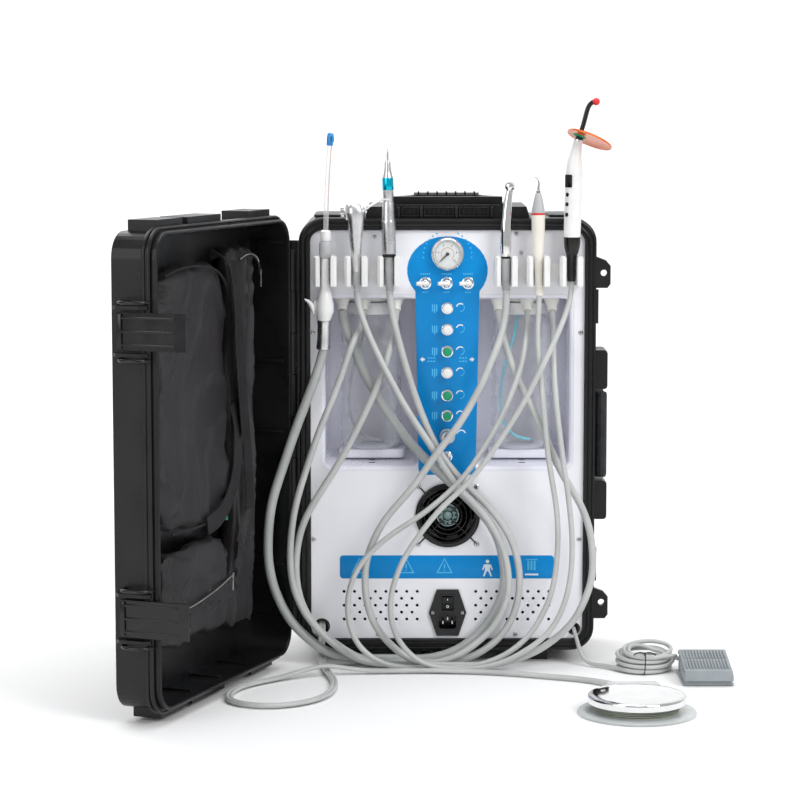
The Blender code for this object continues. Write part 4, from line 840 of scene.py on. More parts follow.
def make_pouch():
    shape = slab(rounded(246, 134, 186, 118, 16), -42.0, -20.0, "Y", 7.0, 3)
    shape = simulated(shape, 3.0, 6.0)
    shape = creased(shape, (0.8, 0.6, 1.0), 34.0, 6.0, 2.3)
    for vert in shape.verts:
        if vert.co.y > -32:
            flap = 1.0 if vert.co.z > 118 + 0.10 * (vert.co.x - 246) else 0.0
            gather = math.sin(vert.co.x * 0.11 + vert.co.z * 0.05)
            vert.co.y += 3.5 * flap + 2.0 * gather * max(0.0, (vert.co.z - 120) / 70)
    shape = clamped(shape, -50.0, -8.0)
    bag = piece("pouch_cloth", swung(shape), NYLON, "lid", (), 80)
    line = zip_line([(334, -10.5, 122), (290, -9.0, 122), (240, -8.5, 127), (190, -9.0, 135),
                     (160, -10.5, 141)])
    piece("pouch_zip", swung(line), [WEBBING, STEEL], "lid")
    tag = slab([(146, 205), (158, 207), (160, 244), (150, 240)], -24.0, -22.4, "Y", 0.5)
    piece("green_tag", swung(tag), GREEN, "lid")


# ---------------------------------------------------------------- lid shell and latches

def make_lid():
    keep("lid_shell", BLACK, 1.2, 3)
    beads = []
    centre = ((LID_NEAR + LID_FAR) / 2, CASE_MIDDLE)
    for inset, depth, radius in ((2.0, 0.2, 2.6), (-3.2, -7.0, 2.4), (-3.2, -13.0, 2.4)):
        loop = rounded(*centre, LID_FAR - LID_NEAR - 2 * inset, CASE_TALL - 2 * inset,
                       CASE_CORNER - 0.6 * inset, 10)
        beads.append(rim_bead(loop, centre, radius, depth))
    piece("lid_rim_beads", swung(joined(beads)), BLACK, "lid")
    ribs = []
    for z in (60, 130, 300, 390, 540):
        ribs.append(block(12.5, 15.5, -50.5, -6.0, z - 1.4, z + 1.4, 0.5))
    for z in (16 + 5.0, 569 - 5.0):
        for u in (120, 200, 280):
            ribs.append(block(u - 1.4, u + 1.4, -50.5, -10.0, z - 1.5, z + 1.5, 0.5))
    for centre in LATCH_CENTRES:
        ribs.append(block(LID_FAR - 8, LID_FAR - 4.2, -44, -4, centre - 30, centre - 27, 0.5))
        ribs.append(block(LID_FAR - 8, LID_FAR - 4.2, -44, -4, centre + 27, centre + 30, 0.5))
    piece("lid_inner_ribs", swung(joined(ribs)), BLACK, "lid")
    hoops = []
    for centre in LATCH_CENTRES:
        for z in (centre - 33.0, centre + 33.0):
            loop = smooth_path([(LID_FAR - 2, -6, z), (LID_FAR + 9, -7, z), (LID_FAR + 16, -13, z),
                                (LID_FAR + 18, -24, z), (LID_FAR + 16, -35, z), (LID_FAR + 9, -41, z),
                                (LID_FAR - 2, -42, z)], 1.5)
            hoops.append(swept(loop, [2.3] * len(loop), 16))
    leaf = block(6.4, 10.0, -7.0, -0.5, 44, 541, 0.6)
    piece("hinge_leaf_lid", swung(leaf), BLACK, "lid")
    piece("lid_latch_guards", swung(joined(hoops)), SATIN_BLACK, "lid")

    for name, centre in zip(("latch_upper", "latch_lower"), LATCH_CENTRES):
        keep(name, SATIN_BLACK, 0.9, 2)
        trims = []
        for z in (centre - 15.5, centre, centre + 15.5):
            trims.append(tinted(block(LID_FAR + 10.3, LID_FAR + 11.6, -38, 30, z - 1.6, z + 1.6, 0.5), 0))
        trims.append(tinted(block(LID_FAR + 9.8, LID_FAR + 12.0, -43, -37, centre - 20, centre + 20, 0.8), 0))
        rivet = [(2.6, 0), (2.6, 0.5), (1.9, 1.3), (0.1, 1.7)]
        for z in (centre + 17.5,):
            trims.append(tinted(turned(rivet, (LID_FAR + 4.6, 38.0, z), (-1, 0, 0), 16), 1))
        piece(name + "_trim", swung(joined(trims)), [SATIN_BLACK, CHROME], name)


# ---------------------------------------------------------------- case

def make_case():
    leaf = [block(-190.6, -187.0, -86.0, -79.0, 44, 541, 0.6),
            block(-202.5, -186.5, -77.4, -75.4, 44, 541, 0.6)]
    piece("hinge_leaf_case", joined(leaf), BLACK, "case")
    keep("base_shell", BLACK, 1.2, 3)
    keep("top_handle", BLACK, 1.0, 3)
    keep("side_handle", GRIP, 0.8, 2)
    beads = []
    for inset, radius in ((2.6, 2.5), (8.6, 2.1)):
        loop = rounded(0, CASE_MIDDLE, 2 * (CASE_HALF - inset), CASE_TALL - 2 * inset,
                       CASE_CORNER - 0.6 * inset, 10)
        beads.append(rim_bead(loop, (0, CASE_MIDDLE), radius, CASE_FRONT))
    piece("case_rim_beads", joined(beads), BLACK, "case")

    pockets = [block(-66, 66, -73.5, -70.2, 583.4, 585.6, 0.7)]
    for left, right in ((-58, -36), (-30, 8), (14, 52)):
        rim = [(left, 570.5), (right, 570.5), (right, 583), (left, 583)]
        hole = [(left + 1.6, 581.6), (right - 1.6, 581.6), (right - 1.6, 572.3), (left + 1.6, 572.3)]
        pockets.append(pierced(rim, [hole], -76.5, -72.0, 0.4))
        count = round((right - left) / 6.2)
        for i in range(1, count):
            x = left + (right - left) * i / count
            pockets.append(block(x - 0.6, x + 0.6, -74.5, -70.2, 572.0, 582.0, 0.25))
    for x in (-62, -33, 11, 56):
        pockets.append(block(x - 1.8, x + 1.8, -80.0, -70.2, 569.2, 583.2, 0.8))
    piece("deck_pockets", joined(pockets), BLACK, "case")

    ribs = []
    for x in (-150, -75, 75, 150):
        ribs.append(slab(rounded(x, 292, 18, 430, 8, 5), 84.0, 88.0, "Y", 1.4, 3))
    ribs.append(slab(rounded(0, 292, 96, 300, 14, 6), 84.0, 87.0, "Y", 1.2, 3))
    for low, high in ((568.5, 572.0), (14.0, 16.5)):
        for x in (-150, 150):
            ribs.append(slab(rounded(x, 5, 40, 110, 10, 5), low, high, "Z", 1.0, 2))
    piece("back_ribs", joined(ribs), BLACK, "case")
    feet = []
    for x in (-118.0, 0.0, 118.0):
        for y in (-50.0, 54.0):
            feet.append(turned([(8.5, 0.0), (9.0, 0.6), (9.0, 1.6), (8.0, 2.2)], (x, y, 0.0), sides=24))
    piece("rubber_feet", joined(feet), GRIP, "case")
    for name in ("compressor", "ultrasonic_generator"):
        keep(name, ALUMINIUM, 0.8, 2)


# ---------------------------------------------------------------- front panel

def screw_head(x, y, z, radius=2.9, axis=FORWARD):
    """Pan head screw with a cross recess, the recess drawn as a dark cross of painted shade."""
    head = turned([(radius, 0), (radius, 0.5), (radius * 0.72, 1.4), (0.5, 1.6)], (x, y, z), axis, 18)
    # dark cross standing just out of the head: painted shade for the recess
    cross = [block(x - radius * 0.62, x + radius * 0.62, y - 1.66, y - 1.2, z - 0.3, z + 0.3, 0),
             block(x - 0.3, x + 0.3, y - 1.66, y - 1.2, z - radius * 0.62, z + radius * 0.62, 0)]
    return joined([tinted(head, 0)] + [tinted(c, 1) for c in cross])


def vent_holes():
    """Round holes in staggered rows on both sides of the mains inlet."""
    holes = []
    pitch = 13.4
    for row, z in enumerate((91.0, 82.0, 73.0, 64.0, 55.0)):
        for side, near in ((-1, 38.0), (1, 37.0)):
            x = near + (row % 2) * pitch / 2
            while x <= 134.0:
                holes.append(circle(side * x, z, 1.9, 12)[::-1])
                x += pitch
    return holes


def bay_outline(side, grow):
    """Mouth of the left (-1) or right (1) bottle bay, grown outwards."""
    return rounded(side * BAY_CENTRE, BAY_MIDDLE, BAY_OUTER - BAY_INNER + 2 * grow,
                   BAY_HIGH - BAY_LOW + 2 * grow, max(2.5, 8 + grow), 8)


def bay_sections(lip):
    """How far each section of a bay grows, and how deep it lies: round lip, straight wall, round floor."""
    sections = []
    for degrees in (0, 18, 36, 54, 72, 90):
        angle = math.radians(degrees)
        sections.append((lip - lip * math.sin(angle), PANEL_FRONT + 0.15 + lip * (1 - math.cos(angle))))
    sections += [(0.0, -50.0), (0.3, -15.0), (0.6, 6.0)]
    for degrees in (22, 45, 68, 90):
        angle = math.radians(degrees)
        sections.append((0.6 - 9.0 * (1 - math.cos(angle)), 6.0 + 10.5 * math.sin(angle)))
    return sections


def make_panel():
    outline = rounded(0, (PANEL_LOW + PANEL_HIGH) / 2, 2 * PANEL_HALF, PANEL_HIGH - PANEL_LOW, 16, 8)
    lip = 5.0
    holes = [bay_outline(side, lip)[::-1] for side in (-1, 1)]
    holes.append(circle(*FAN, 37.5, 48)[::-1])
    left, right, low, high = FAN[0] - 15, FAN[0] + 15, INLET_Z - 24, INLET_Z + 24
    holes.append([(left, high), (right, high), (right, low), (left, low)])
    for x, z, radius in CABLE_HOLES:
        holes.append(circle(x, z, radius, 24)[::-1])
    plate = pierced(outline, holes + vent_holes(), PANEL_FRONT, PANEL_FRONT + 3.0, 0.7)
    # dark sheet behind the vent holes and the inlet opening: painted shade inside the case
    shade_sheet = block(-146, 146, PANEL_FRONT + 8, PANEL_FRONT + 9, 44, 102, 0.2)
    piece("front_panel_face", joined([tinted(plate, 0), tinted(shade_sheet, 1)]), [PANEL, DARK_AND_PAINTED_SHADE], "case",
          ("front_panel",))

    for name, side in (("bay_left", -1), ("bay_right", 1)):
        loops = []
        for grow, y in bay_sections(lip):
            loop = []
            for x, z in bay_outline(side, grow):
                if z < FLOOR_BLEND:
                    z += FLOOR_SLOPE * max(0.0, y - PANEL_FRONT) * (FLOOR_BLEND - z) / 47
                loop.append((x, y, z))
            loops.append(loop)
        liner = loft(loops, (False, True))
        bmesh.ops.reverse_faces(liner, faces=liner.faces)
        parts = [tinted(liner, 0)]
        # dark blocks on the bay floor for its two slots: painted shade
        for y in (-62.0, -47.0):
            z = BAY_LOW + FLOOR_SLOPE * (y - PANEL_FRONT)
            parts.append(tinted(block(side * BAY_CENTRE - 4, side * BAY_CENTRE + 4, y - 1.0, y + 1.0,
                                      z - 0.5, z + 0.5, 0.3), 1))
        ledge = rounded(side * BAY_CENTRE, 0, 84, 60, 10, 6)
        parts.append(tinted(slab([(x, z - 22) for x, z in ledge], BAY_LOW + 7, 271.0, "Z", 1.2), 0))
        parts.append(tinted(turned([(27, 459.5), (30, 462), (30, BAY_HIGH)],
                                   (side * BOTTLE_X, BOTTLE_Y, 0), sides=40), 2))
        piece(name, joined(parts), [BAY, DARK_AND_PAINTED_SHADE, WHITE], "case", (), 50)

    funnels = []
    for x in OUTLET_X:
        funnels.append(turned([(5.4, -1.0), (5.9, 0.0), (6.1, 6), (6.8, 8), (9.6, 15), (10.2, 19), (9.8, 22)],
                              (x, -73.0, 452.0), OUTLET_UP, 32))
    piece("outlet_funnels", joined(funnels), CREAM, "case")

    spots = ((-92, 545), (-170, 159), (169, 159), (88, 36), (-88, 36), (169, 424), (-170, 424), (93, 525),
             (87, 549), (-136, 510))
    piece("panel_screws", joined([screw_head(x, PANEL_FRONT - 0.1, z) for x, z in spots]),
          [SATIN, DARK_AND_PAINTED_SHADE], "case")
    grommets = []
    for x, z, hole in CABLE_HOLES:
        profile = [(hole + 1.5, 1.0), (hole + 2.2, 0.2), (hole + 2.2, -0.6), (hole - 0.6, -1.2),
                   (hole - 1.4, 0.0), (hole - 1.4, 6.0)]
        grommets.append(opened(turned(profile, (x, PANEL_FRONT, z), (0, 1, 0), 32)))
    piece("cable_grommets", joined(grommets), SATIN_BLACK, "case")


def label_outline():
    """Keyhole outline: a round head over a straight neck with a rounded foot."""
    points = []
    for i in range(13):
        angle = math.radians(-38 + i * (128 / 12))
        points.append((min(51.0, 2.0 + 49.0 * math.cos(angle)), 503.0 + 43.0 * math.sin(angle)))
    points += [(-x, z) for x, z in reversed(points)]
    for i in range(5):
        angle = math.radians(180 + i * 22.5)
        points.append((-28.5 + 8.0 * math.cos(angle), 250.0 + 8.0 * math.sin(angle)))
    points += [(-x, z) for x, z in reversed(points[-5:])]
    return points


def arc_mark(x, z, radius, start, end, width, y):
    """Flat arc band."""
    angles = [math.radians(start + (end - start) * i / 10) for i in range(11)]
    outer = [(x + (radius + width / 2) * math.cos(a), z + (radius + width / 2) * math.sin(a)) for a in angles]
    inner = [(x + (radius - width / 2) * math.cos(a), z + (radius - width / 2) * math.sin(a)) for a in angles]
    return slab(outer + inner[::-1], y, y + THIN, "Y", 0.0)


MARK_FACE = PANEL_FRONT - 0.5
THIN = 0.25


def bar(left, right, low, high):
    """Printed bar on the label."""
    return block(left, right, MARK_FACE, MARK_FACE + THIN, low, high, 0)


def make_labels():
    piece("panel_label", slab(label_outline(), PANEL_FRONT - 0.28, PANEL_FRONT + 0.2, "Y", 0.12), LABEL,
          "case")
    y = MARK_FACE
    marks = []
    pale = []
    for z, _ in KNOBS:
        marks.append(arc_mark(16.5, z + 1, 5.0, 50, 165, 1.5, y))
        pale.append(arc_mark(16.5, z + 1, 5.0, -90, 40, 1.0, y))
        for k in range(3):
            pale.append(bar(-19.5 + k * 2.6, -18.0 + k * 2.6, z - 4 - 2 * (k % 2), z + 5))
    marks.append(arc_mark(18, REGULATOR_Z + 2, 5.5, 20, 165, 1.6, y))
    for side in (-1, 1):
        arrow = [(side * 34.5, 390.0), (side * 31.0, 393.4), (side * 31.0, 391.3), (side * 28.6, 391.3),
                 (side * 28.6, 388.7), (side * 31.0, 388.7), (side * 31.0, 386.6)]
        marks.append(slab(arrow, y, y + THIN, "Y", 0.0))
        for row in range(2):
            for k in range(3):
                x = side * (16.5 + 3.6 * k)
                pale.append(bar(x - 1.3, x + 1.3, 391.0 - 4.2 * row, 392.6 - 4.2 * row))
        for i in range(7):
            angle = math.radians(64 - 11.5 * i)
            x, z = side * 30.5 * math.cos(angle), GAUGE_Z - 2 + 30.5 * math.sin(angle)
            pale.append(bar(x - 0.9, x + 0.9, z - 0.9, z + 0.9))
    for x in TOGGLE_X:
        for k in range(5):
            pale.append(bar(x - 6 + 2.6 * k, x - 4.4 + 2.6 * k, 497.5, 499.6))
        for k in range(3):
            pale.append(bar(x - 3.4 + 2.6 * k, x - 1.8 + 2.6 * k, 474.6, 476.2))
    piece("label_marks", joined(marks), MARK, "case")
    piece("label_pale_marks", joined(pale), PALE_MARK, "case")

    piece("safety_strip", slab(rounded(0, 123, 274, 30, 4.5, 6), PANEL_FRONT - 0.28, PANEL_FRONT + 0.2, "Y",
                               0.12), LABEL, "case")
    pale = []
    for x in (-112, -52, -3):
        rim = [(x, 135.0), (x - 10.5, 115.0), (x + 10.5, 115.0)]
        hole = [(x, 132.4), (x + 8.0, 116.4), (x - 8.0, 116.4)]
        pale.append(pierced(rim, [hole], y, y + THIN, 0.02))
        pale += [bar(x - 0.8, x + 0.8, 121, 127), bar(x - 0.8, x + 0.8, 118, 119.4)]
    for k in range(3):
        pale.append(bar(103 + 4 * k, 105.6 + 4 * k, 119, 131))
    pale.append(bar(101, 116, 131.8, 133.4))
    marks = [bar(100, 117, 112.2, 114.4)]
    figure = [(0, 126.6), (4.6, 126.2), (6.9, 119.4), (5.4, 118.9), (3.6, 123.6), (3.1, 119.0), (5.7, 111.0),
              (3.9, 110.8), (0.9, 117.6)]
    figure += [(-a, b) for a, b in reversed(figure)]
    marks.append(slab([(52 + a, b) for a, b in figure], y, y + THIN, "Y", 0.0))
    marks.append(slab(circle(52, 130.2, 2.3, 20), y, y + THIN, "Y", 0.0))
    piece("strip_marks", joined(marks), MARK, "case")
    piece("strip_pale_marks", joined(pale), PALE_MARK, "case")


# ---------------------------------------------------------------- bottles, gauge and controls

def make_bottles():
    for name, side in (("bottle_left", -1), ("bottle_right", 1)):
        centre = (side * BOTTLE_X, BOTTLE_Y, 0)
        outer = [(20, 275.5), (31, 272.0), (36.5, 275), (38.6, 282)]
        for z in range(292, 424, 22):
            outer += [(38.6, z), (37.4, z + 2.5), (37.4, z + 5.5), (38.6, z + 8)]
        outer += [(38.6, 424), (36.5, 434), (31.0, 441), (28.6, 444), (28.6, 447)]
        inner = [(radius - 1.3, z + (1.4 if z < 280 else 0.0)) for radius, z in reversed(outer)]
        shell = opened(turned(outer + inner, centre, sides=56))
        bmesh.ops.recalc_face_normals(shell, faces=shell.faces)
        piece(name + "_shell", shell, BOTTLE, "case", (name,))
        cap = turned([(29, 444.5), (33, 445.0), (33.4, 446.2), (33.4, 458.2), (32.6, 459.6), (20, 459.8)],
                     centre, sides=144, flutes=48, flute_depth=0.55)
        piece(name + "_cap", cap, WHITE, "case")
        route = [(-6, -6, 446), (-10, -12, 420), (-22, -20, 380), (-28, -20, 340), (-24, -21, 306),
                 (-8, -22, 288), (10, -16, 283)]
        dip = smooth_path([(side * BOTTLE_X + a, BOTTLE_Y + b, z) for a, b, z in route], 4.0)
        material = CYAN_TUBE if side > 0 else TUBE
        piece(name + "_dip_tube", swept(dip, [2.0] * len(dip), 12), material, "case")


def digits(text, x, z, size, y):
    """A short number on the dial, as a flat shape."""
    curve = bpy.data.curves.new("digits", "FONT")
    curve.body = text
    curve.size = size
    curve.align_x = "CENTER"
    curve.align_y = "CENTER"
    curve.extrude = 0.06
    holder = bpy.data.objects.new("digits", curve)
    bpy.context.scene.collection.objects.link(holder)
    evaluated = holder.evaluated_get(bpy.context.evaluated_depsgraph_get())
    shape = bmesh.new()
    shape.from_mesh(evaluated.to_mesh())
    evaluated.to_mesh_clear()
    bpy.data.objects.remove(holder, do_unlink=True)
    bpy.data.curves.remove(curve)
    for vert in shape.verts:
        vert.co = Vector((x + vert.co.x, y - vert.co.z, z + vert.co.y))
    bmesh.ops.recalc_face_normals(shape, faces=shape.faces)
    return shape


def make_gauge():
    centre = (0, CONTROL_FACE, GAUGE_Z)
    bezel = turned([(19.0, 0.2), (20.6, 0.2), (21.0, 1.0), (21.0, 7.5), (20.4, 9.6), (19.3, 10.5),
                    (18.4, 10.3), (17.8, 9.0), (17.6, 6.2), (17.6, 5.0), (10.0, 5.0)], centre, FORWARD, 72)
    piece("gauge_bezel", bezel, CHROME, "case", ("gauge_case",))
    face = CONTROL_FACE - 6.3
    parts = [tinted(turned([(17.6, 5.2), (17.6, 6.1), (17.3, 6.3), (0.3, 6.3)], centre, FORWARD, 64), 0)]
    for i in range(51):
        angle = math.radians(225 - 270 * i / 50)
        long = 2.6 if i % 10 == 0 else (1.9 if i % 5 == 0 else 1.1)
        half = 0.16 if i % 10 else 0.26
        tick = block(-half, half, face - 0.12, face + 0.1, 16.2 - long, 16.2, 0)
        bmesh.ops.rotate(tick, verts=tick.verts, cent=(0, 0, 0),
                         matrix=Matrix.Rotation(math.pi / 2 - angle, 3, "Y"))
        bmesh.ops.translate(tick, verts=tick.verts, vec=(0, 0, GAUGE_Z))
        parts.append(tinted(tick, 1))
    for i in range(6):
        angle = math.radians(225 - 54 * i)
        x, z = 11.4 * math.cos(angle), GAUGE_Z + 11.4 * math.sin(angle)
        parts.append(tinted(digits(str(2 * i), x, z, 3.4, face - 0.08), 1))
    parts.append(tinted(arc_mark(0, GAUGE_Z, 8.2, -45, 225, 0.5, face - 0.14), 2))
    piece("gauge_dial", joined(parts), [DIAL, DARK_AND_PAINTED_SHADE, RED], "case")
    lens = turned([(17.5, 8.6), (17.4, 9.1), (12, 9.8), (6, 10.2), (0.4, 10.3)], centre, FORWARD, 48)
    piece("gauge_glass", lens, LENS, "case")
    keep("gauge_needle", DARK_AND_PAINTED_SHADE, 0.15, 2)


def make_controls():
    nuts = []
    for number, x in enumerate(TOGGLE_X, 1):
        centre = (x, CONTROL_FACE, TOGGLE_Z)
        nuts.append(turned([(7.6, 0.0), (7.6, 0.6), (6.9, 1.0)], centre, FORWARD, 40))
        nuts.append(turned([(6.4, 1.0), (6.4, 3.4), (5.8, 4.0)], centre, FORWARD, 6))
        barrel = turned([(5.4, 0.6), (5.4, 7.0), (5.0, 8.4), (3.6, 9.6), (0.4, 10.2)], centre, FORWARD, 32)
        route = [(x + 3.5, CONTROL_FACE - 8.5, TOGGLE_Z - 0.3), (x - 1, CONTROL_FACE - 11.5, TOGGLE_Z),
                 (x - 5.5, CONTROL_FACE - 14.0, TOGGLE_Z + 0.2), (x - 11.0, CONTROL_FACE - 16.0,
                                                                  TOGGLE_Z + 0.2)]
        path = smooth_path(route, 1.4)
        lever = swept(path, [2.7 + 0.5 * math.sin(i * 0.9) for i in range(len(path))], 20)
        name = f"toggle_{number}"
        piece(name + "_lever", joined([tinted(barrel, 0), tinted(lever, 1)]), [CHROME, CREAM], name,
              (name,))
    for z, _ in KNOBS:
        nuts.append(turned([(7.4, 0.0), (7.4, 0.7), (6.6, 1.0)], (0, CONTROL_FACE + 0.2, z), FORWARD, 40))
    nuts.append(turned([(6.6, 0.0), (6.6, 1.2), (5.8, 1.6), (5.5, 1.6)], (0, CONTROL_FACE, 266), FORWARD,
                       40))
    nuts.append(turned([(5.2, 1.2), (5.2, 5.0), (4.4, 5.8), (2.4, 5.8), (2.0, 4.4)],
                       (0, CONTROL_FACE, 266), FORWARD, 6))
    piece("control_collars", joined(nuts), CHROME, "case", (), 30)
    for number, (z, kind) in enumerate(KNOBS, 1):
        radius = 6.4 if kind == "white" else 5.8
        profile = [(radius * 0.86, 0.9), (radius * 0.9, 1.4), (radius * 0.98, 3.0), (radius, 9.4),
                   (radius * 0.96, 11.0), (radius * 0.82, 11.9), (radius * 0.5, 12.1), (0.3, 12.0)]
        cap = turned(profile, (0, CONTROL_FACE, z), FORWARD, 96, 24, 0.42)
        name = f"knob_{number}"
        material = WHITE if kind == "white" else GREEN
        piece(name + "_cap", cap, material, name, (name,), 60)
    ring = turned([(9.6, 0.3), (10.4, 0.8), (10.4, 4.0), (9.8, 5.0), (8.6, 5.2), (8.4, 6.0), (8.4, 13.6),
                   (7.6, 15.0), (5.0, 15.2), (4.2, 14.6), (4.0, 9.0)], (0, CONTROL_FACE, REGULATOR_Z),
                  FORWARD, 96, 32, 0.18)
    core = turned([(3.9, 8.8), (3.9, 12.6), (3.0, 13.2), (0.3, 13.2)], (0, CONTROL_FACE, REGULATOR_Z),
                  FORWARD, 24)
    piece("regulator_dial", joined([tinted(ring, 0), tinted(core, 1)]), [SATIN, DARK_AND_PAINTED_SHADE], "regulator_knob",
          ("regulator_knob",))


WIRE = 0.75


def make_fan():
    face = CONTROL_FACE
    ring = turned([(35.3, 0.0), (41.0, 0.0), (41.4, 1.0), (41.0, 3.0), (39.4, 4.0), (36.6, 4.0), (35.6, 3.0),
                   (35.3, 1.0)], (FAN[0], face, FAN[1]), FORWARD, 72)
    ring = opened(ring)
    tunnel = turned([(35.4, 0.2), (35.4, -21.0), (30.0, -21.4)], (FAN[0], face, FAN[1]), FORWARD, 64)
    tunnel = opened(tunnel)
    bmesh.ops.solidify(tunnel, geom=tunnel.faces[:], thickness=-1.0)
    wires = []
    for radius in (6.0, 12.0, 18.0, 24.0, 30.0, 35.4):
        loop = [(FAN[0] + radius * math.cos(t), face - 3.2, FAN[1] + radius * math.sin(t))
                for t in (math.tau * k / 48 for k in range(49))]
        wires.append(swept(loop, [WIRE] * len(loop), 8))
    for k in range(4):
        angle = math.radians(45 + 90 * k)
        a = (FAN[0] + 5.5 * math.cos(angle), face - 2.4, FAN[1] + 5.5 * math.sin(angle))
        b = (FAN[0] + 52.3 * math.cos(angle), face - 1.0, FAN[1] + 52.3 * math.sin(angle))
        wires.append(swept([a, b], [0.9, 0.9], 10))
    piece("fan_guard", joined([ring, tunnel] + wires), SATIN_BLACK, "case", ("fan_frame",))
    piece("fan_screws", joined([screw_head(FAN[0] + 37 * a, face - 0.2, FAN[1] + 37 * b, 3.4)
                                for a in (-1, 1) for b in (-1, 1)]), [SATIN, DARK_AND_PAINTED_SHADE], "case")
    keep("fan_rotor", SATIN_BLACK, 0.3, 2)
    hub = [tinted(turned([(14.4, 0), (14.4, 0.35), (0.3, 0.4)], (FAN[0], face + 1.5, FAN[1]), FORWARD, 40),
                  0)]
    for k in range(12):
        angle = math.tau * k / 12
        x, z = FAN[0] + 10.4 * math.cos(angle), FAN[1] + 10.4 * math.sin(angle)
        hub.append(tinted(slab(circle(x, z, 1.5, 12), face + 0.95, face + 1.2, "Y", 0.0), 1))
    piece("fan_hub_label", joined(hub), [HUB_LABEL, DARK_AND_PAINTED_SHADE], "fan_rotor")


def make_inlet():
    keep("power_inlet", SATIN_BLACK, 0.7, 2)
    keep("rocker_switch", SATIN_BLACK, 0.5, 2)
    face = CONTROL_FACE - 3.0
    parts = [screw_head(FAN[0] + side * 19.0, face + 0.1, INLET_Z, 2.3) for side in (-1, 1)]
    piece("inlet_screws", joined(parts), [SATIN, DARK_AND_PAINTED_SHADE], "case")
    frames = []
    for z, outer, inner in ((INLET_Z + 12.5, (19, 22, 2), (15.6, 18.6, 1.2)),
                            (INLET_Z - 12, (26, 21, 5), (21.8, 17.4, 3))):
        hole = rounded(FAN[0], z, *inner, 4)[::-1]
        frames.append(pierced(rounded(FAN[0], z, *outer, 4), [hole], face - 0.8, face + 0.1, 0.2))
    piece("inlet_frames", joined(frames), SATIN_BLACK, "case")
    pins = [block(FAN[0] + x - 0.9, FAN[0] + x + 0.9, face + 1.2, face + 14, INLET_Z - 12 + z - 1.9,
                  INLET_Z - 12 + z + 1.9, 0.3) for x, z in ((-6, -1), (0, 4), (6, -1))]
    piece("inlet_pins", joined(pins), SATIN, "case")
    middle = INLET_Z + 12.5
    rocker_face = CONTROL_FACE - 2.9
    line = block(FAN[0] - 0.4, FAN[0] + 0.4, rocker_face - 0.3, rocker_face + 1.4, middle + 3.4,
                 middle + 5.8, 0)
    ring = pierced(circle(FAN[0], middle - 4.4, 1.7, 20), [circle(FAN[0], middle - 4.4, 1.0, 20)[::-1]],
                   CONTROL_FACE - 3.9, CONTROL_FACE - 3.2, 0.02)
    piece("rocker_marks", joined([line, ring]), MARK, "rocker_switch")


def make_holders():
    keep("holder_left", WHITE, 1.1, 3)
    keep("holder_right", WHITE, 1.1, 3)
    caps = []
    for x in HOLDER_X:
        for side in (-1, 1):
            arm = x + side * 10.4
            outline = [(arm - 3.0, -116.5), (arm + 3.0, -116.5), (arm + 3.0, -84), (arm - 3.0, -84)]
            caps.append(slab(outline, 520.6, 522.6, "Z", 0.9))
    piece("holder_caps", joined(caps), WHITE, "case")


# ---------------------------------------------------------------- instruments

def shifted(points, x):
    return [(x + dx, AXIS_Y + dy, z) for dx, dy, z in points]


def ribbed(x0, x1, low, high, radius, taper=0.0, pitch=2.6, deep=0.35):
    """Round sleeve with shallow ribs, leaning from x0 at its foot to x1 at its top."""
    points = []
    radii = []
    count = max(2, round((high - low) / pitch))
    for i in range(count):
        for part, cut in ((0.0, 0.0), (0.55, 0.0), (0.68, deep), (0.87, deep)):
            t = (i + part) / count
            points.append((x0 + (x1 - x0) * t, AXIS_Y, low + (high - low) * t))
            radii.append(radius + taper * t - cut)
    return swept(points, radii, 28)


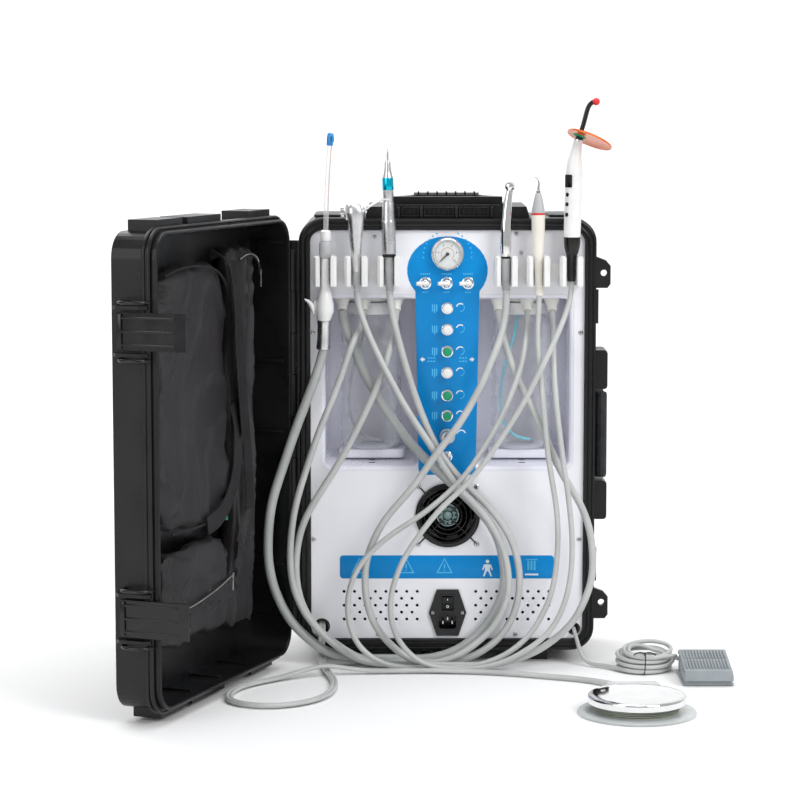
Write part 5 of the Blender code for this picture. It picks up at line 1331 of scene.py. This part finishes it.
def make_suction():
    x = HOLDER_X[0]
    neck = swept(shifted([(-2.4, 0, 441), (-1.8, 0, 446), (-1.0, 0, 453), (-0.7, 0, 462), (-0.4, 0, 472),
                          (-0.1, 0, 481), (0, 0, 486), (0, 0, 519)], x),
                 [8.2, 9.6, 11.8, 11.4, 9.0, 6.2, 4.9, 4.5], 32)
    collar = swept(shifted([(-2.7, 0, 405), (-2.6, 0, 408), (-2.0, 0, 418), (-1.6, 0, 436), (-1.5, 0, 438),
                            (-1.4, 0, 441.5)], x), [8.6, 8.9, 8.4, 8.2, 8.7, 8.4], 32)
    head = swept(shifted([(0, 0, 519), (0.1, 0, 521), (0.3, 0, 526), (0.5, 0, 538), (0.5, 0, 541)], x),
                 [4.5, 6.4, 8.2, 8.0, 6.9], 32)
    connector = swept(shifted([(0.5, 0, 541), (0.6, 0, 543), (0.7, 0, 549), (0.8, 0, 553), (0.9, 0, 555)], x),
                      [5.4, 6.9, 6.6, 6.8, 4.6], 32)
    slot = block(x - 14.0, x - 8.0, AXIS_Y - 1.4, AXIS_Y + 1.4, 449, 466, 0.5)
    piece("suction_valve_body", joined([tinted(neck, 0), tinted(collar, 1), tinted(head, 2),
                                        tinted(connector, 0), tinted(slot, 0)]),
          [WHITE, SATIN, GREY], "case", ("suction_valve",))
    lever = swept(shifted([(-14.6, 0, 450), (-15.2, 0, 454), (-16.2, -0.2, 458), (-18.5, -0.5, 462.5),
                           (-22.0, -0.8, 466.0), (-26.0, -1.0, 468.2)], x),
                  [1.6, 3.0, 3.4, 3.0, 2.2, 0.8], 20, 1.3)
    piece("suction_lever_paddle", lever, WHITE, "suction_lever", ("suction_lever",))

    line = smooth_path(shifted([(0.9, 0, 552.0), (2.5, 0, 600), (5.5, 0, 650), (6.6, 0, 664)], x), 4.0)
    tube = swept(line, [3.2] * len(line), 24)
    piece("saliva_tube", tube, TUBE, "case", ("saliva_ejector",))
    side = [(px + 1.9, py - 1.6, pz) for px, py, pz in line]
    piece("saliva_wire", swept(side, [0.55] * len(side), 8), COPPER, "case")
    tip = swept(shifted([(6.2, 0, 660.5), (6.25, 0, 661.5), (6.8, 0, 668), (7.3, 0, 674.5), (7.5, 0, 676.0)],
                        x), [3.6, 4.2, 4.2, 4.0, 3.1], 28)
    # dark blocks for the tip's holes: painted shade
    holes = []
    for k in range(5):
        angle = math.tau * k / 5
        holes.append(block(x + 6.9 + 4.1 * math.cos(angle) - 0.5, x + 6.9 + 4.1 * math.cos(angle) + 0.5,
                           AXIS_Y + 4.1 * math.sin(angle) - 0.5, AXIS_Y + 4.1 * math.sin(angle) + 0.5,
                           665, 672, 0.2))
    piece("saliva_tip", joined([tinted(tip, 0)] + [tinted(h, 1) for h in holes]), [TIP_BLUE, DARK_AND_PAINTED_SHADE], "case")


def make_syringe():
    x = HOLDER_X[1]
    base = ribbed(x + 1.0, x + 0.9, 481, 503, 4.7, 0.3)
    body = swept(shifted([(0.9, 0, 502), (0.8, 0, 505), (0.5, 0, 513), (0.2, 0, 522), (-0.1, 0, 534),
                          (-0.5, 0, 548), (-0.4, 0, 558), (-0.3, 0, 568), (-0.8, 0, 575), (-0.8, 0, 581),
                          (0.2, 0, 585.5), (1.0, 0, 588)], x),
                 [4.6, 5.1, 5.4, 5.9, 7.2, 8.7, 9.8, 11.0, 11.9, 11.4, 9.2, 4.8], 36, 0.82, 2.3)
    nose = turned([(5.6, -4.0), (5.4, 2.0), (4.4, 5.0), (3.9, 5.6), (3.9, 8.4), (3.0, 9.4)],
                  (x + 5.0, AXIS_Y - 2.0, 579.5), (0.86, -0.22, 0.38), 28)
    plate = slab(rounded(x - 11.5, 577.5, 4.0, 20, 1.6, 4), AXIS_Y - 4.2, AXIS_Y + 4.2, "Y", 1.0)
    piece("syringe_grip", joined([tinted(base, 1), tinted(body, 0), tinted(nose, 0), tinted(plate, 0)]),
          [SATIN, GREY], "case", ("syringe_body",))
    line = smooth_path(shifted([(12.4, -4.0, 582.4), (20, -6, 586.6), (28, -7.5, 591.2), (31.5, -8.2, 592.7),
                                (36, -8.9, 593.3), (42, -10, 593.3)], x), 1.5)
    radii = [1.7 - 0.6 * i / (len(line) - 1) for i in range(len(line))]
    radii[:3] = [2.6, 2.5, 2.0]
    piece("syringe_tip", swept(line, radii, 20), CHROME, "case", ("syringe_nozzle",))
    for name in ("air_button", "water_button"):
        keep(name, SATIN, 0.4, 2)


def make_low_speed():
    x = HOLDER_X[2]

    def lean(shape):
        for vert in shape.verts:
            along = (vert.co.z - 478.0) / 164.0
            vert.co += Vector((x + 1.0 - 2.6 * along, AXIS_Y, 0))
        return shape

    origin = (0, 0, 0)
    sleeve = []
    for i in range(9):
        z = 478.3 + i * 2.6
        sleeve += [(5.1, z), (5.1, z + 1.5), (4.75, z + 1.7), (4.75, z + 2.4)]
    sleeve += [(5.1, 502), (5.2, 521.2)]
    dark = turned([(5.2, 521.0), (8.3, 521.2), (8.6, 522.2), (8.6, 524.4), (8.2, 525.0)], origin, sides=48)
    body = turned([(8.2, 524.8), (8.9, 525.6), (9.0, 530), (9.15, 542), (9.3, 552), (9.1, 564), (8.9, 566),
                   (8.6, 567), (8.5, 568.5), (7.9, 577), (7.3, 586), (6.9, 590), (6.7, 591), (6.9, 592),
                   (6.9, 605)], origin, sides=56)
    ring = turned([(6.7, 605.0), (7.1, 605.8), (7.1, 612), (7.1, 619.2), (6.8, 620.2)], origin, sides=56)
    nose = turned([(6.7, 620.0), (6.6, 621.2), (6.1, 622.4), (5.9, 623.4), (5.2, 626), (4.6, 628.5),
                   (4.4, 631), (4.0, 633), (3.9, 638.5), (3.4, 641), (1.6, 641.4)], origin, sides=40)
    pins = []
    for z in (536, 541, 546):
        pins.append(turned([(9.25, z), (9.32, z + 0.6), (9.25, z + 1.2)], origin, sides=48))
    piece("low_speed_motor", joined([tinted(lean(turned(sleeve, origin, sides=36)), 1), tinted(lean(dark), 2),
                                     tinted(lean(body), 0), tinted(lean(ring), 3), tinted(lean(nose), 0)]
                                    + [tinted(lean(p), 0) for p in pins]),
          [SATIN, GREY, DARK_AND_PAINTED_SHADE, CYAN], "case", ("low_speed_handpiece",), 28)
    keep("straight_bur", STEEL, 0.2, 2)


def make_high_speed():
    x = HOLDER_X[3]
    sleeve = ribbed(x + 0.5, x + 0.0, 478.3, 497, 5.0)
    plain = swept(shifted([(0.0, 0, 496), (-0.2, 0, 519.6)], x), [5.0, 5.2], 32)
    dark = swept(shifted([(-0.2, 0, 519.2), (-0.2, 0, 520.2), (-0.3, 0, 521.6), (-0.3, 0, 522.2)], x),
                 [5.3, 5.9, 5.9, 5.2], 32)
    body = swept(smooth_path(shifted([(-0.3, 0, 522), (-0.5, 0, 534), (-0.6, 0, 546), (0.2, 0, 566),
                                      (2.0, 0, 590), (4.4, 0, 606)], x), 3.0),
                 [6.0, 6.6, 6.9, 7.1, 7.3, 7.4, 7.4, 7.4, 7.35, 7.3, 7.25, 7.2, 7.1, 7.0, 6.9, 6.75, 6.6, 6.4,
                  6.2, 6.0, 5.8, 5.6, 5.4, 5.2, 5.0, 4.8, 4.6, 4.4, 4.3], 40)
    head = turned([(0.6, -7.2), (3.4, -6.9), (4.9, -6.0), (5.5, -4.4), (5.6, 0), (5.6, 3.6), (5.0, 5.2),
                   (3.9, 6.0), (3.7, 6.8), (1.0, 7.1)], (x + 4.8, AXIS_Y, 609.6), (0.35, 0.93, 0), 44)
    neck = swept(shifted([(3.9, 0, 602), (4.6, 0, 606), (4.8, 0, 610)], x), [4.4, 4.3, 3.2], 28)
    piece("high_speed_turbine", joined([tinted(sleeve, 1), tinted(plain, 1), tinted(dark, 2), tinted(body, 0),
                                        tinted(neck, 0), tinted(head, 0)]),
          [CHROME, GREY, DARK_AND_PAINTED_SHADE], "case", ("high_speed_handpiece",), 30)


def make_scaler():
    """Ultrasonic scaler handpiece: connector, sleeve, red ring, nose cone and hooked tip."""
    x = HOLDER_X[4]
    connector = [tinted(ribbed(x + 1.4, x + 1.3, 473.3, 482.5, 5.1, 0.15, 2.2, 0.3), 0)]
    connector.append(tinted(swept(shifted([(1.3, 0, 482.2), (1.2, 0, 483.6), (1.2, 0, 484.6)], x),
                                  [5.4, 5.4, 4.7], 32), 0))
    grip = swept(smooth_path(shifted([(1.2, 0, 484.4), (0.9, 0, 491), (0.4, 0, 510), (0.2, 0, 522),
                                      (0.05, 0, 534), (0.0, 0, 545), (-0.2, 0, 560), (-0.3, 0, 574.4)], x),
                             3.0), [4.6, 4.65, 4.7, 4.8, 4.9, 5.0, 5.1, 5.25, 5.4, 5.5, 5.65, 5.8, 6.0, 6.3,
                                    6.6, 6.9, 7.2, 7.45, 7.65, 7.8, 7.95, 8.05, 8.15, 8.22, 8.28, 8.34,
                                    8.38, 8.42, 8.45, 8.48, 8.5], 44)
    pips = []
    for side in (-1, 1):
        for k in range(7):
            z = 536 + 4.4 * k
            radius = 7.3 + 1.0 * min(1.0, (z - 530) / 30)
            angle = math.radians(90 + side * 64)
            spot = Vector((x + radius * math.cos(angle), AXIS_Y - radius * math.sin(angle), z))
            pips.append(tinted(turned([(1.0, 0.0), (0.95, 0.25), (0.5, 0.45)], spot,
                                      (math.cos(angle), -math.sin(angle), 0), 12), 0))
    mark = tinted(swept(shifted([(-0.28, 0, 573.6), (-0.3, 0, 574.2), (-0.3, 0, 576.0), (-0.3, 0, 576.4)], x),
                        [8.35, 8.62, 8.62, 8.3], 44), 1)
    piece("scaler_grip", joined(connector + [tinted(grip, 0)] + pips + [mark]), [IVORY, RED], "case",
          ("scaler_sleeve",), 30)
    cone = turned([(8.2, 576.5), (8.35, 577.1), (8.2, 579.5), (7.2, 584.5), (6.1, 590), (4.9, 596),
                   (4.0, 599.6), (3.6, 601.0), (2.2, 601.5)], (x - 0.3, AXIS_Y, 0), sides=44)
    grooves = [turned([(r, z), (r + 0.12, z + 0.25), (r, z + 0.5)], (x - 0.3, AXIS_Y, 0), sides=44)
               for r, z in ((6.65, 587.2), (5.95, 590.6), (5.25, 594.0))]
    piece("scaler_cone", joined([cone] + grooves), GREY, "case", ("scaler_nose_cone",), 30)
    hook = smooth_path(shifted([(-0.3, 0, 601.2), (-0.3, 0, 604.5), (-0.2, 0, 608), (0.2, 0, 612),
                                (0.0, 0, 615.6), (-1.6, 0, 618.8), (-4.8, 0, 621.3)], x), 0.8)
    count = len(hook)
    radii = []
    for i in range(count):
        t = i / (count - 1)
        step = 2.1 if t < 0.16 else (1.5 if t < 0.22 else 1.45 - 1.1 * (t - 0.22) / 0.78)
        radii.append(step)
    parts = [swept(hook, radii, 20)]
    parts.append(turned([(1.5, 601.3), (2.5, 601.6), (2.5, 604.0), (2.1, 604.4), (1.5, 604.6)],
                        (x - 0.3, AXIS_Y, 0), sides=6))
    piece("scaler_hook", joined(parts), STEEL, "case", ("scaler_tip",), 30)


def make_curing_light():
    x = HOLDER_X[5]
    boot = []
    boot.append(tinted(swept(shifted([(0.3, 0, 490.6), (0.3, 0, 492), (0.3, 0, 505), (0.3, 0, 518),
                                      (0.4, 0, 522), (0.6, 0, 528), (0.7, 0, 533), (0.8, 0, 538),
                                      (0.8, 0, 546.2)], x),
                             [4.4, 5.2, 5.3, 5.6, 6.4, 8.4, 9.6, 10.2, 10.5], 44), 1))
    for z in (494.0, 497.5, 501.0, 504.5):
        boot.append(tinted(swept(shifted([(0.3, 0, z), (0.3, 0, z + 0.6), (0.3, 0, z + 1.5),
                                          (0.3, 0, z + 2.1)], x), [5.0, 5.55, 5.55, 5.0], 28), 1))
    body = swept(smooth_path(shifted([(0.8, 0, 546.2), (0.9, 0, 552), (1.3, 0, 570), (1.8, 0, 590),
                                      (2.4, 0, 610), (2.9, 0, 628), (4.0, 0, 646), (5.6, 0, 656),
                                      (7.0, 0, 663), (7.9, 0, 666.6)], x), 4.0),
                 [10.3, 10.6, 10.65, 10.7, 10.7, 10.7, 10.75, 10.75, 10.8, 10.8, 10.8, 10.85, 10.85, 10.9,
                  10.9, 10.9, 10.9, 10.9, 10.85, 10.8, 10.65, 10.4, 10.0, 9.5, 8.8, 8.1, 7.3, 6.7, 6.1, 5.8,
                  5.6], 48)
    ring = turned([(5.2, 0), (5.8, 0.4), (5.8, 2.2), (5.0, 2.6)], (x + 7.9, AXIS_Y, 665.6), (0.26, 0, 1), 36)
    screen = slab(rounded(0, 0, 10.4, 16.0, 1.2, 4), -0.6, 0.6, "Y", 0.3)
    bmesh.ops.rotate(screen, verts=screen.verts, cent=(0, 0, 0), matrix=Matrix.Rotation(math.radians(-40), 3,
                                                                                      "Z"))
    bmesh.ops.translate(screen, verts=screen.verts, vec=(x + 2.3 - 6.9, AXIS_Y - 8.2, 616.5))
    buttons = []
    for z in (599.5, 587.5, 574.5):
        lean = 1.3 + (z - 570) * 0.026
        buttons.append(tinted(turned([(2.7, -1.0), (2.7, 0.3), (2.2, 0.9), (0.3, 1.1)],
                                     (x + lean - 8.0, AXIS_Y - 7.1, z), (-0.75, -0.66, 0), 24), 1))
    piece("curing_light_shell", joined(boot + [tinted(body, 0), tinted(ring, 2), tinted(screen, 3)] + buttons),
          [WHITE, SATIN_BLACK, SATIN, DARK_AND_PAINTED_SHADE], "case", ("curing_light_body",), 30)
    line = smooth_path(shifted([(8.5, 0, 667.6), (10.2, 0, 674.5), (12.2, 0, 681), (18.2, 0, 703),
                                (20.6, 0, 709.5), (24.6, 0, 713.8), (28.0, 0, 715.2)], x), 1.5)
    radii = [4.9 if i < 3 else (4.0 if i < 5 else 2.95) for i in range(len(line))]
    guide = tinted(swept(line, radii, 32), 0)
    cap = [(2.8, -4.6)]
    for k in range(1, 12):
        angle = math.radians(-58 + 148 * k / 11)
        cap.append((max(0.2, 4.75 * math.cos(angle)), 4.75 * math.sin(angle)))
    cap = tinted(turned(cap, (x + 29.6, AXIS_Y, 715.0), (1.0, 0, 0.10), 36), 1)
    piece("light_guide_rod", joined([guide, cap]), [SATIN_BLACK, RED], "light_guide",
          ("light_guide",))
    normal = Vector((0.42, 0.24, 1.0)).normalized()
    lean = Vector((0, 0, 1)).rotation_difference(normal)
    hole = Vector((x + 9.9, AXIS_Y, 673.5))
    centre = hole + lean @ Vector((13.0, 0, 0))
    rim = circle(0, 0, 29.2, 72)
    bore = circle(-13.0, 0, 7.0, 36)
    disc = pierced(rim, [bore], -1.0, 0.2, 0.3)
    edge = turned([(28.2, -1.7), (29.3, -1.8), (29.5, -1.2), (29.4, 0.6), (28.6, 0.9), (28.1, 0.2)], (0, 0, 0),
                  sides=96)
    for vert in disc.verts:
        vert.co = Vector((vert.co.x, vert.co.z, vert.co.y))
    bmesh.ops.recalc_face_normals(disc, faces=disc.faces)
    shield = joined([tinted(disc, 0), tinted(edge, 1)])
    for vert in shield.verts:
        vert.co = lean @ vert.co + centre
    piece("light_shield_disc", shield, [AMBER, AMBER_EDGE], "light_guide",
          ("light_shield",))
    hub = turned([(5.6, -2.9), (7.9, -2.5), (8.9, -1.7), (8.9, 0.9), (7.6, 2.2), (5.6, 2.6)], hole, normal,
                 96, 16, 0.5)
    piece("light_shield_hub", hub, GREEN, "light_guide")


# ---------------------------------------------------------------- floor controls

def make_foot_switch():
    base = slab([(-221.5, 0.2), (-140.5, 0.2), (-140.5, 20.6), (-148, 23.0), (-221.5, 6.2)], 291.3, 348.7, "X",
                1.4, 3)
    sole = block(288.5, 351.5, -221.8, -138.5, 0.0, 2.4, 0.9)
    boot = swept(smooth_path([(311, -142, 12.2), (311, -137, 12.4), (309.6, -130.5, 12.6),
                              (305.6, -124.8, 12.6), BOOT_TIP_MM], 1.6),
                 [5.2, 5.1, 4.6, 5.0, 4.4, 4.8, 4.1, 4.5, 3.9, 4.3, 3.7, 4.0, 3.5, 3.7, 3.3, 3.3, 3.2], 20)
    screw = turned([(2.2, 0), (2.2, 0.6), (1.4, 1.2)], (291.4, -178, 8.0), (-1, 0, 0), 18)
    piece("foot_switch_housing", joined([tinted(base, 0), tinted(sole, 0), tinted(boot, 1), tinted(screw, 2)]),
          [SWITCH, GREY, SATIN], "case", ("foot_switch_base",))
    shell = slab([(-222.6, 10.8), (-148, 24.2), (-141.2, 22.6), (-141.2, 27.2), (-149, 30.2), (-222.6, 19.6)],
                 290.3, 349.7, "X", 1.6, 3)
    skirt = block(290.3, 349.7, -227.4, -222.9, 6.3, 20.2, 1.8)
    cheeks = [slab([(-226.0, 6.6), (-222.0, 6.6), (-176.0, 17.5), (-176.0, 20.5), (-226.0, 14.0)], a, b,
                   "X", 0.7) for a, b in ((289.4, 290.9), (349.1, 350.6))]
    ribs = []
    for near, far in ((-218.0, -188.0), (-183.5, -153.5)):
        for k in range(14):
            xx = 294.6 + k * 3.9
            rise = [20.3 + (y + 222.6) * 0.1440 for y in (near, far)]
            ridge = swept([(xx, near, rise[0]), (xx, near + 2, rise[0] + 0.5), (xx, far - 2, rise[1] + 0.1),
                         (xx, far, rise[1] - 0.3)], [0.7, 1.15, 1.15, 0.7], 10)
            ribs.append(ridge)
    piece("foot_switch_treadle", joined([shell, skirt] + cheeks + ribs), SWITCH, "foot_switch_pedal",
          ("foot_switch_pedal",))


def make_foot_control():
    centre = (*DISC, 0)
    plate = turned([(0.5, 0.05), (69.4, 0.05), (70.0, 0.5), (70.0, 2.0), (69.2, 2.8), (67.6, 3.2), (60, 3.3),
                    (47, 3.4)], centre, sides=96)
    piece("foot_control_plate", plate, PLATE, "case", ("foot_control_base",))
    folds = [(46.5, 3.2)]
    for k in range(4):
        z = 3.4 + k * 2.1
        folds += [(49.6, z), (49.6, z + 0.9), (45.6, z + 1.5), (45.6, z + 2.0)]
    folds += [(44.0, 11.75), (30.0, 11.8)]
    piece("foot_control_bellows", turned(folds, centre, sides=72), BELLOWS, "case")
    x, rear = DISC[0], DISC[1] + 61.0
    tab = slab([(x - 42, 0.5), (x + 42, 0.5), (x + 42, 9), (x + 30, 20.8), (x - 30, 20.8), (x - 42, 10)],
               rear, rear + 16, "Y", 1.6, 3)
    barb = turned([(3.4, 0), (3.4, 2.5), (3.9, 3.0), (3.9, 5.5), (3.2, 6.0)], (216, rear + 14, 9.0),
                  (0, 1, 0.05), 24)
    screws = [turned([(2.4, 0), (2.4, 0.5), (1.5, 1.1)], (x + s * 26, rear + 16, 12.5), (0, 1, 0), 18)
              for s in (-1, 1)]
    piece("foot_control_tab", joined([tinted(tab, 0), tinted(barb, 1)] + [tinted(s, 2) for s in screws]),
          [PLATE, WHITE, SATIN], "case")
    dome = turned([(0.3, 17.2), (49, 17.2), (52.4, 16.2), (53.2, 13.6), (54.0, 13.0), (57.0, 13.0),
                   (57.8, 13.5), (58.0, 14.3), (58.0, 19.8), (57.7, 21.0), (56.8, 22.0), (55.4, 22.5),
                   (50, 22.9), (40, 23.25), (28, 23.5), (14, 23.65), (0.4, 23.7)], centre, sides=128)
    piece("foot_control_dome", dome, CHROME, "foot_control_disc", ("foot_control_disc",), 30)


# ---------------------------------------------------------------- floor, lights and world

def make_studio():
    half = 6.0
    profile = [(-9.0, -0.0006), (1.2, -0.0006)]
    radius = 1.4
    for k in range(1, 13):
        angle = math.radians(90 * k / 12)
        profile.append((1.2 + radius * math.sin(angle), -0.0006 + radius * (1 - math.cos(angle))))
    profile.append((1.2 + radius, 6.0))
    shape = bmesh.new()
    rows = [[shape.verts.new((side, y, z)) for y, z in profile] for side in (-half, half)]
    for k in range(len(profile) - 1):
        shape.faces.new((rows[0][k], rows[1][k], rows[1][k + 1], rows[0][k + 1]))
    mesh = bpy.data.meshes.new("studio_floor")
    shape.to_mesh(mesh)
    shape.free()
    mesh.shade_smooth()
    mesh.materials.append(finish("studio_paper", (0.90, 0.90, 0.90), (0.92, 0.92, 0.92), (0.75, 0.85), 3, 200,
                                 0.02))
    floor = bpy.data.objects.new("studio_floor", mesh)
    bpy.context.scene.collection.objects.link(floor)

    world = bpy.data.worlds.new("studio")
    world.use_nodes = True
    world.node_tree.nodes["Background"].inputs["Color"].default_value = (0.97, 0.98, 1.0, 1.0)
    world.node_tree.nodes["Background"].inputs["Strength"].default_value = 0.50
    bpy.context.scene.world = world
    for name, spot, target, size, power in (
            ("key", (2.2, -2.6, 2.6), (0.05, 0.0, 0.30), 1.5, 66.0),
            ("fill", (-2.6, -2.8, 1.6), (-0.1, 0.0, 0.30), 2.0, 32.0),
            ("top", (0.2, -0.2, 3.0), (0.0, 0.0, 0.2), 2.2, 42.0),
            ("back", (-1.6, 2.0, 2.4), (0.0, 0.0, 0.3), 1.8, 34.0)):
        light = bpy.data.lights.new(name, "AREA")
        light.shape = "SQUARE"
        light.size = size
        light.energy = power
        lamp = bpy.data.objects.new(name, light)
        lamp.location = spot
        lamp.rotation_euler = (Vector(target) - Vector(spot)).to_track_quat("-Z", "Y").to_euler()
        bpy.context.scene.collection.objects.link(lamp)
    bpy.context.scene.view_settings.view_transform = "Standard"


def build_all():
    make_camera()
    make_hoses()
    make_twin_tube()
    make_switch_cable()
    make_tool_bag()
    make_side_bag()
    make_pouch()
    make_lid()
    make_case()
    make_panel()
    make_labels()
    make_bottles()
    make_gauge()
    make_controls()
    make_fan()
    make_inlet()
    make_holders()
    make_suction()
    make_syringe()
    make_low_speed()
    make_high_speed()
    make_scaler()
    make_curing_light()
    make_foot_switch()
    make_foot_control()
    make_studio()


build_all()
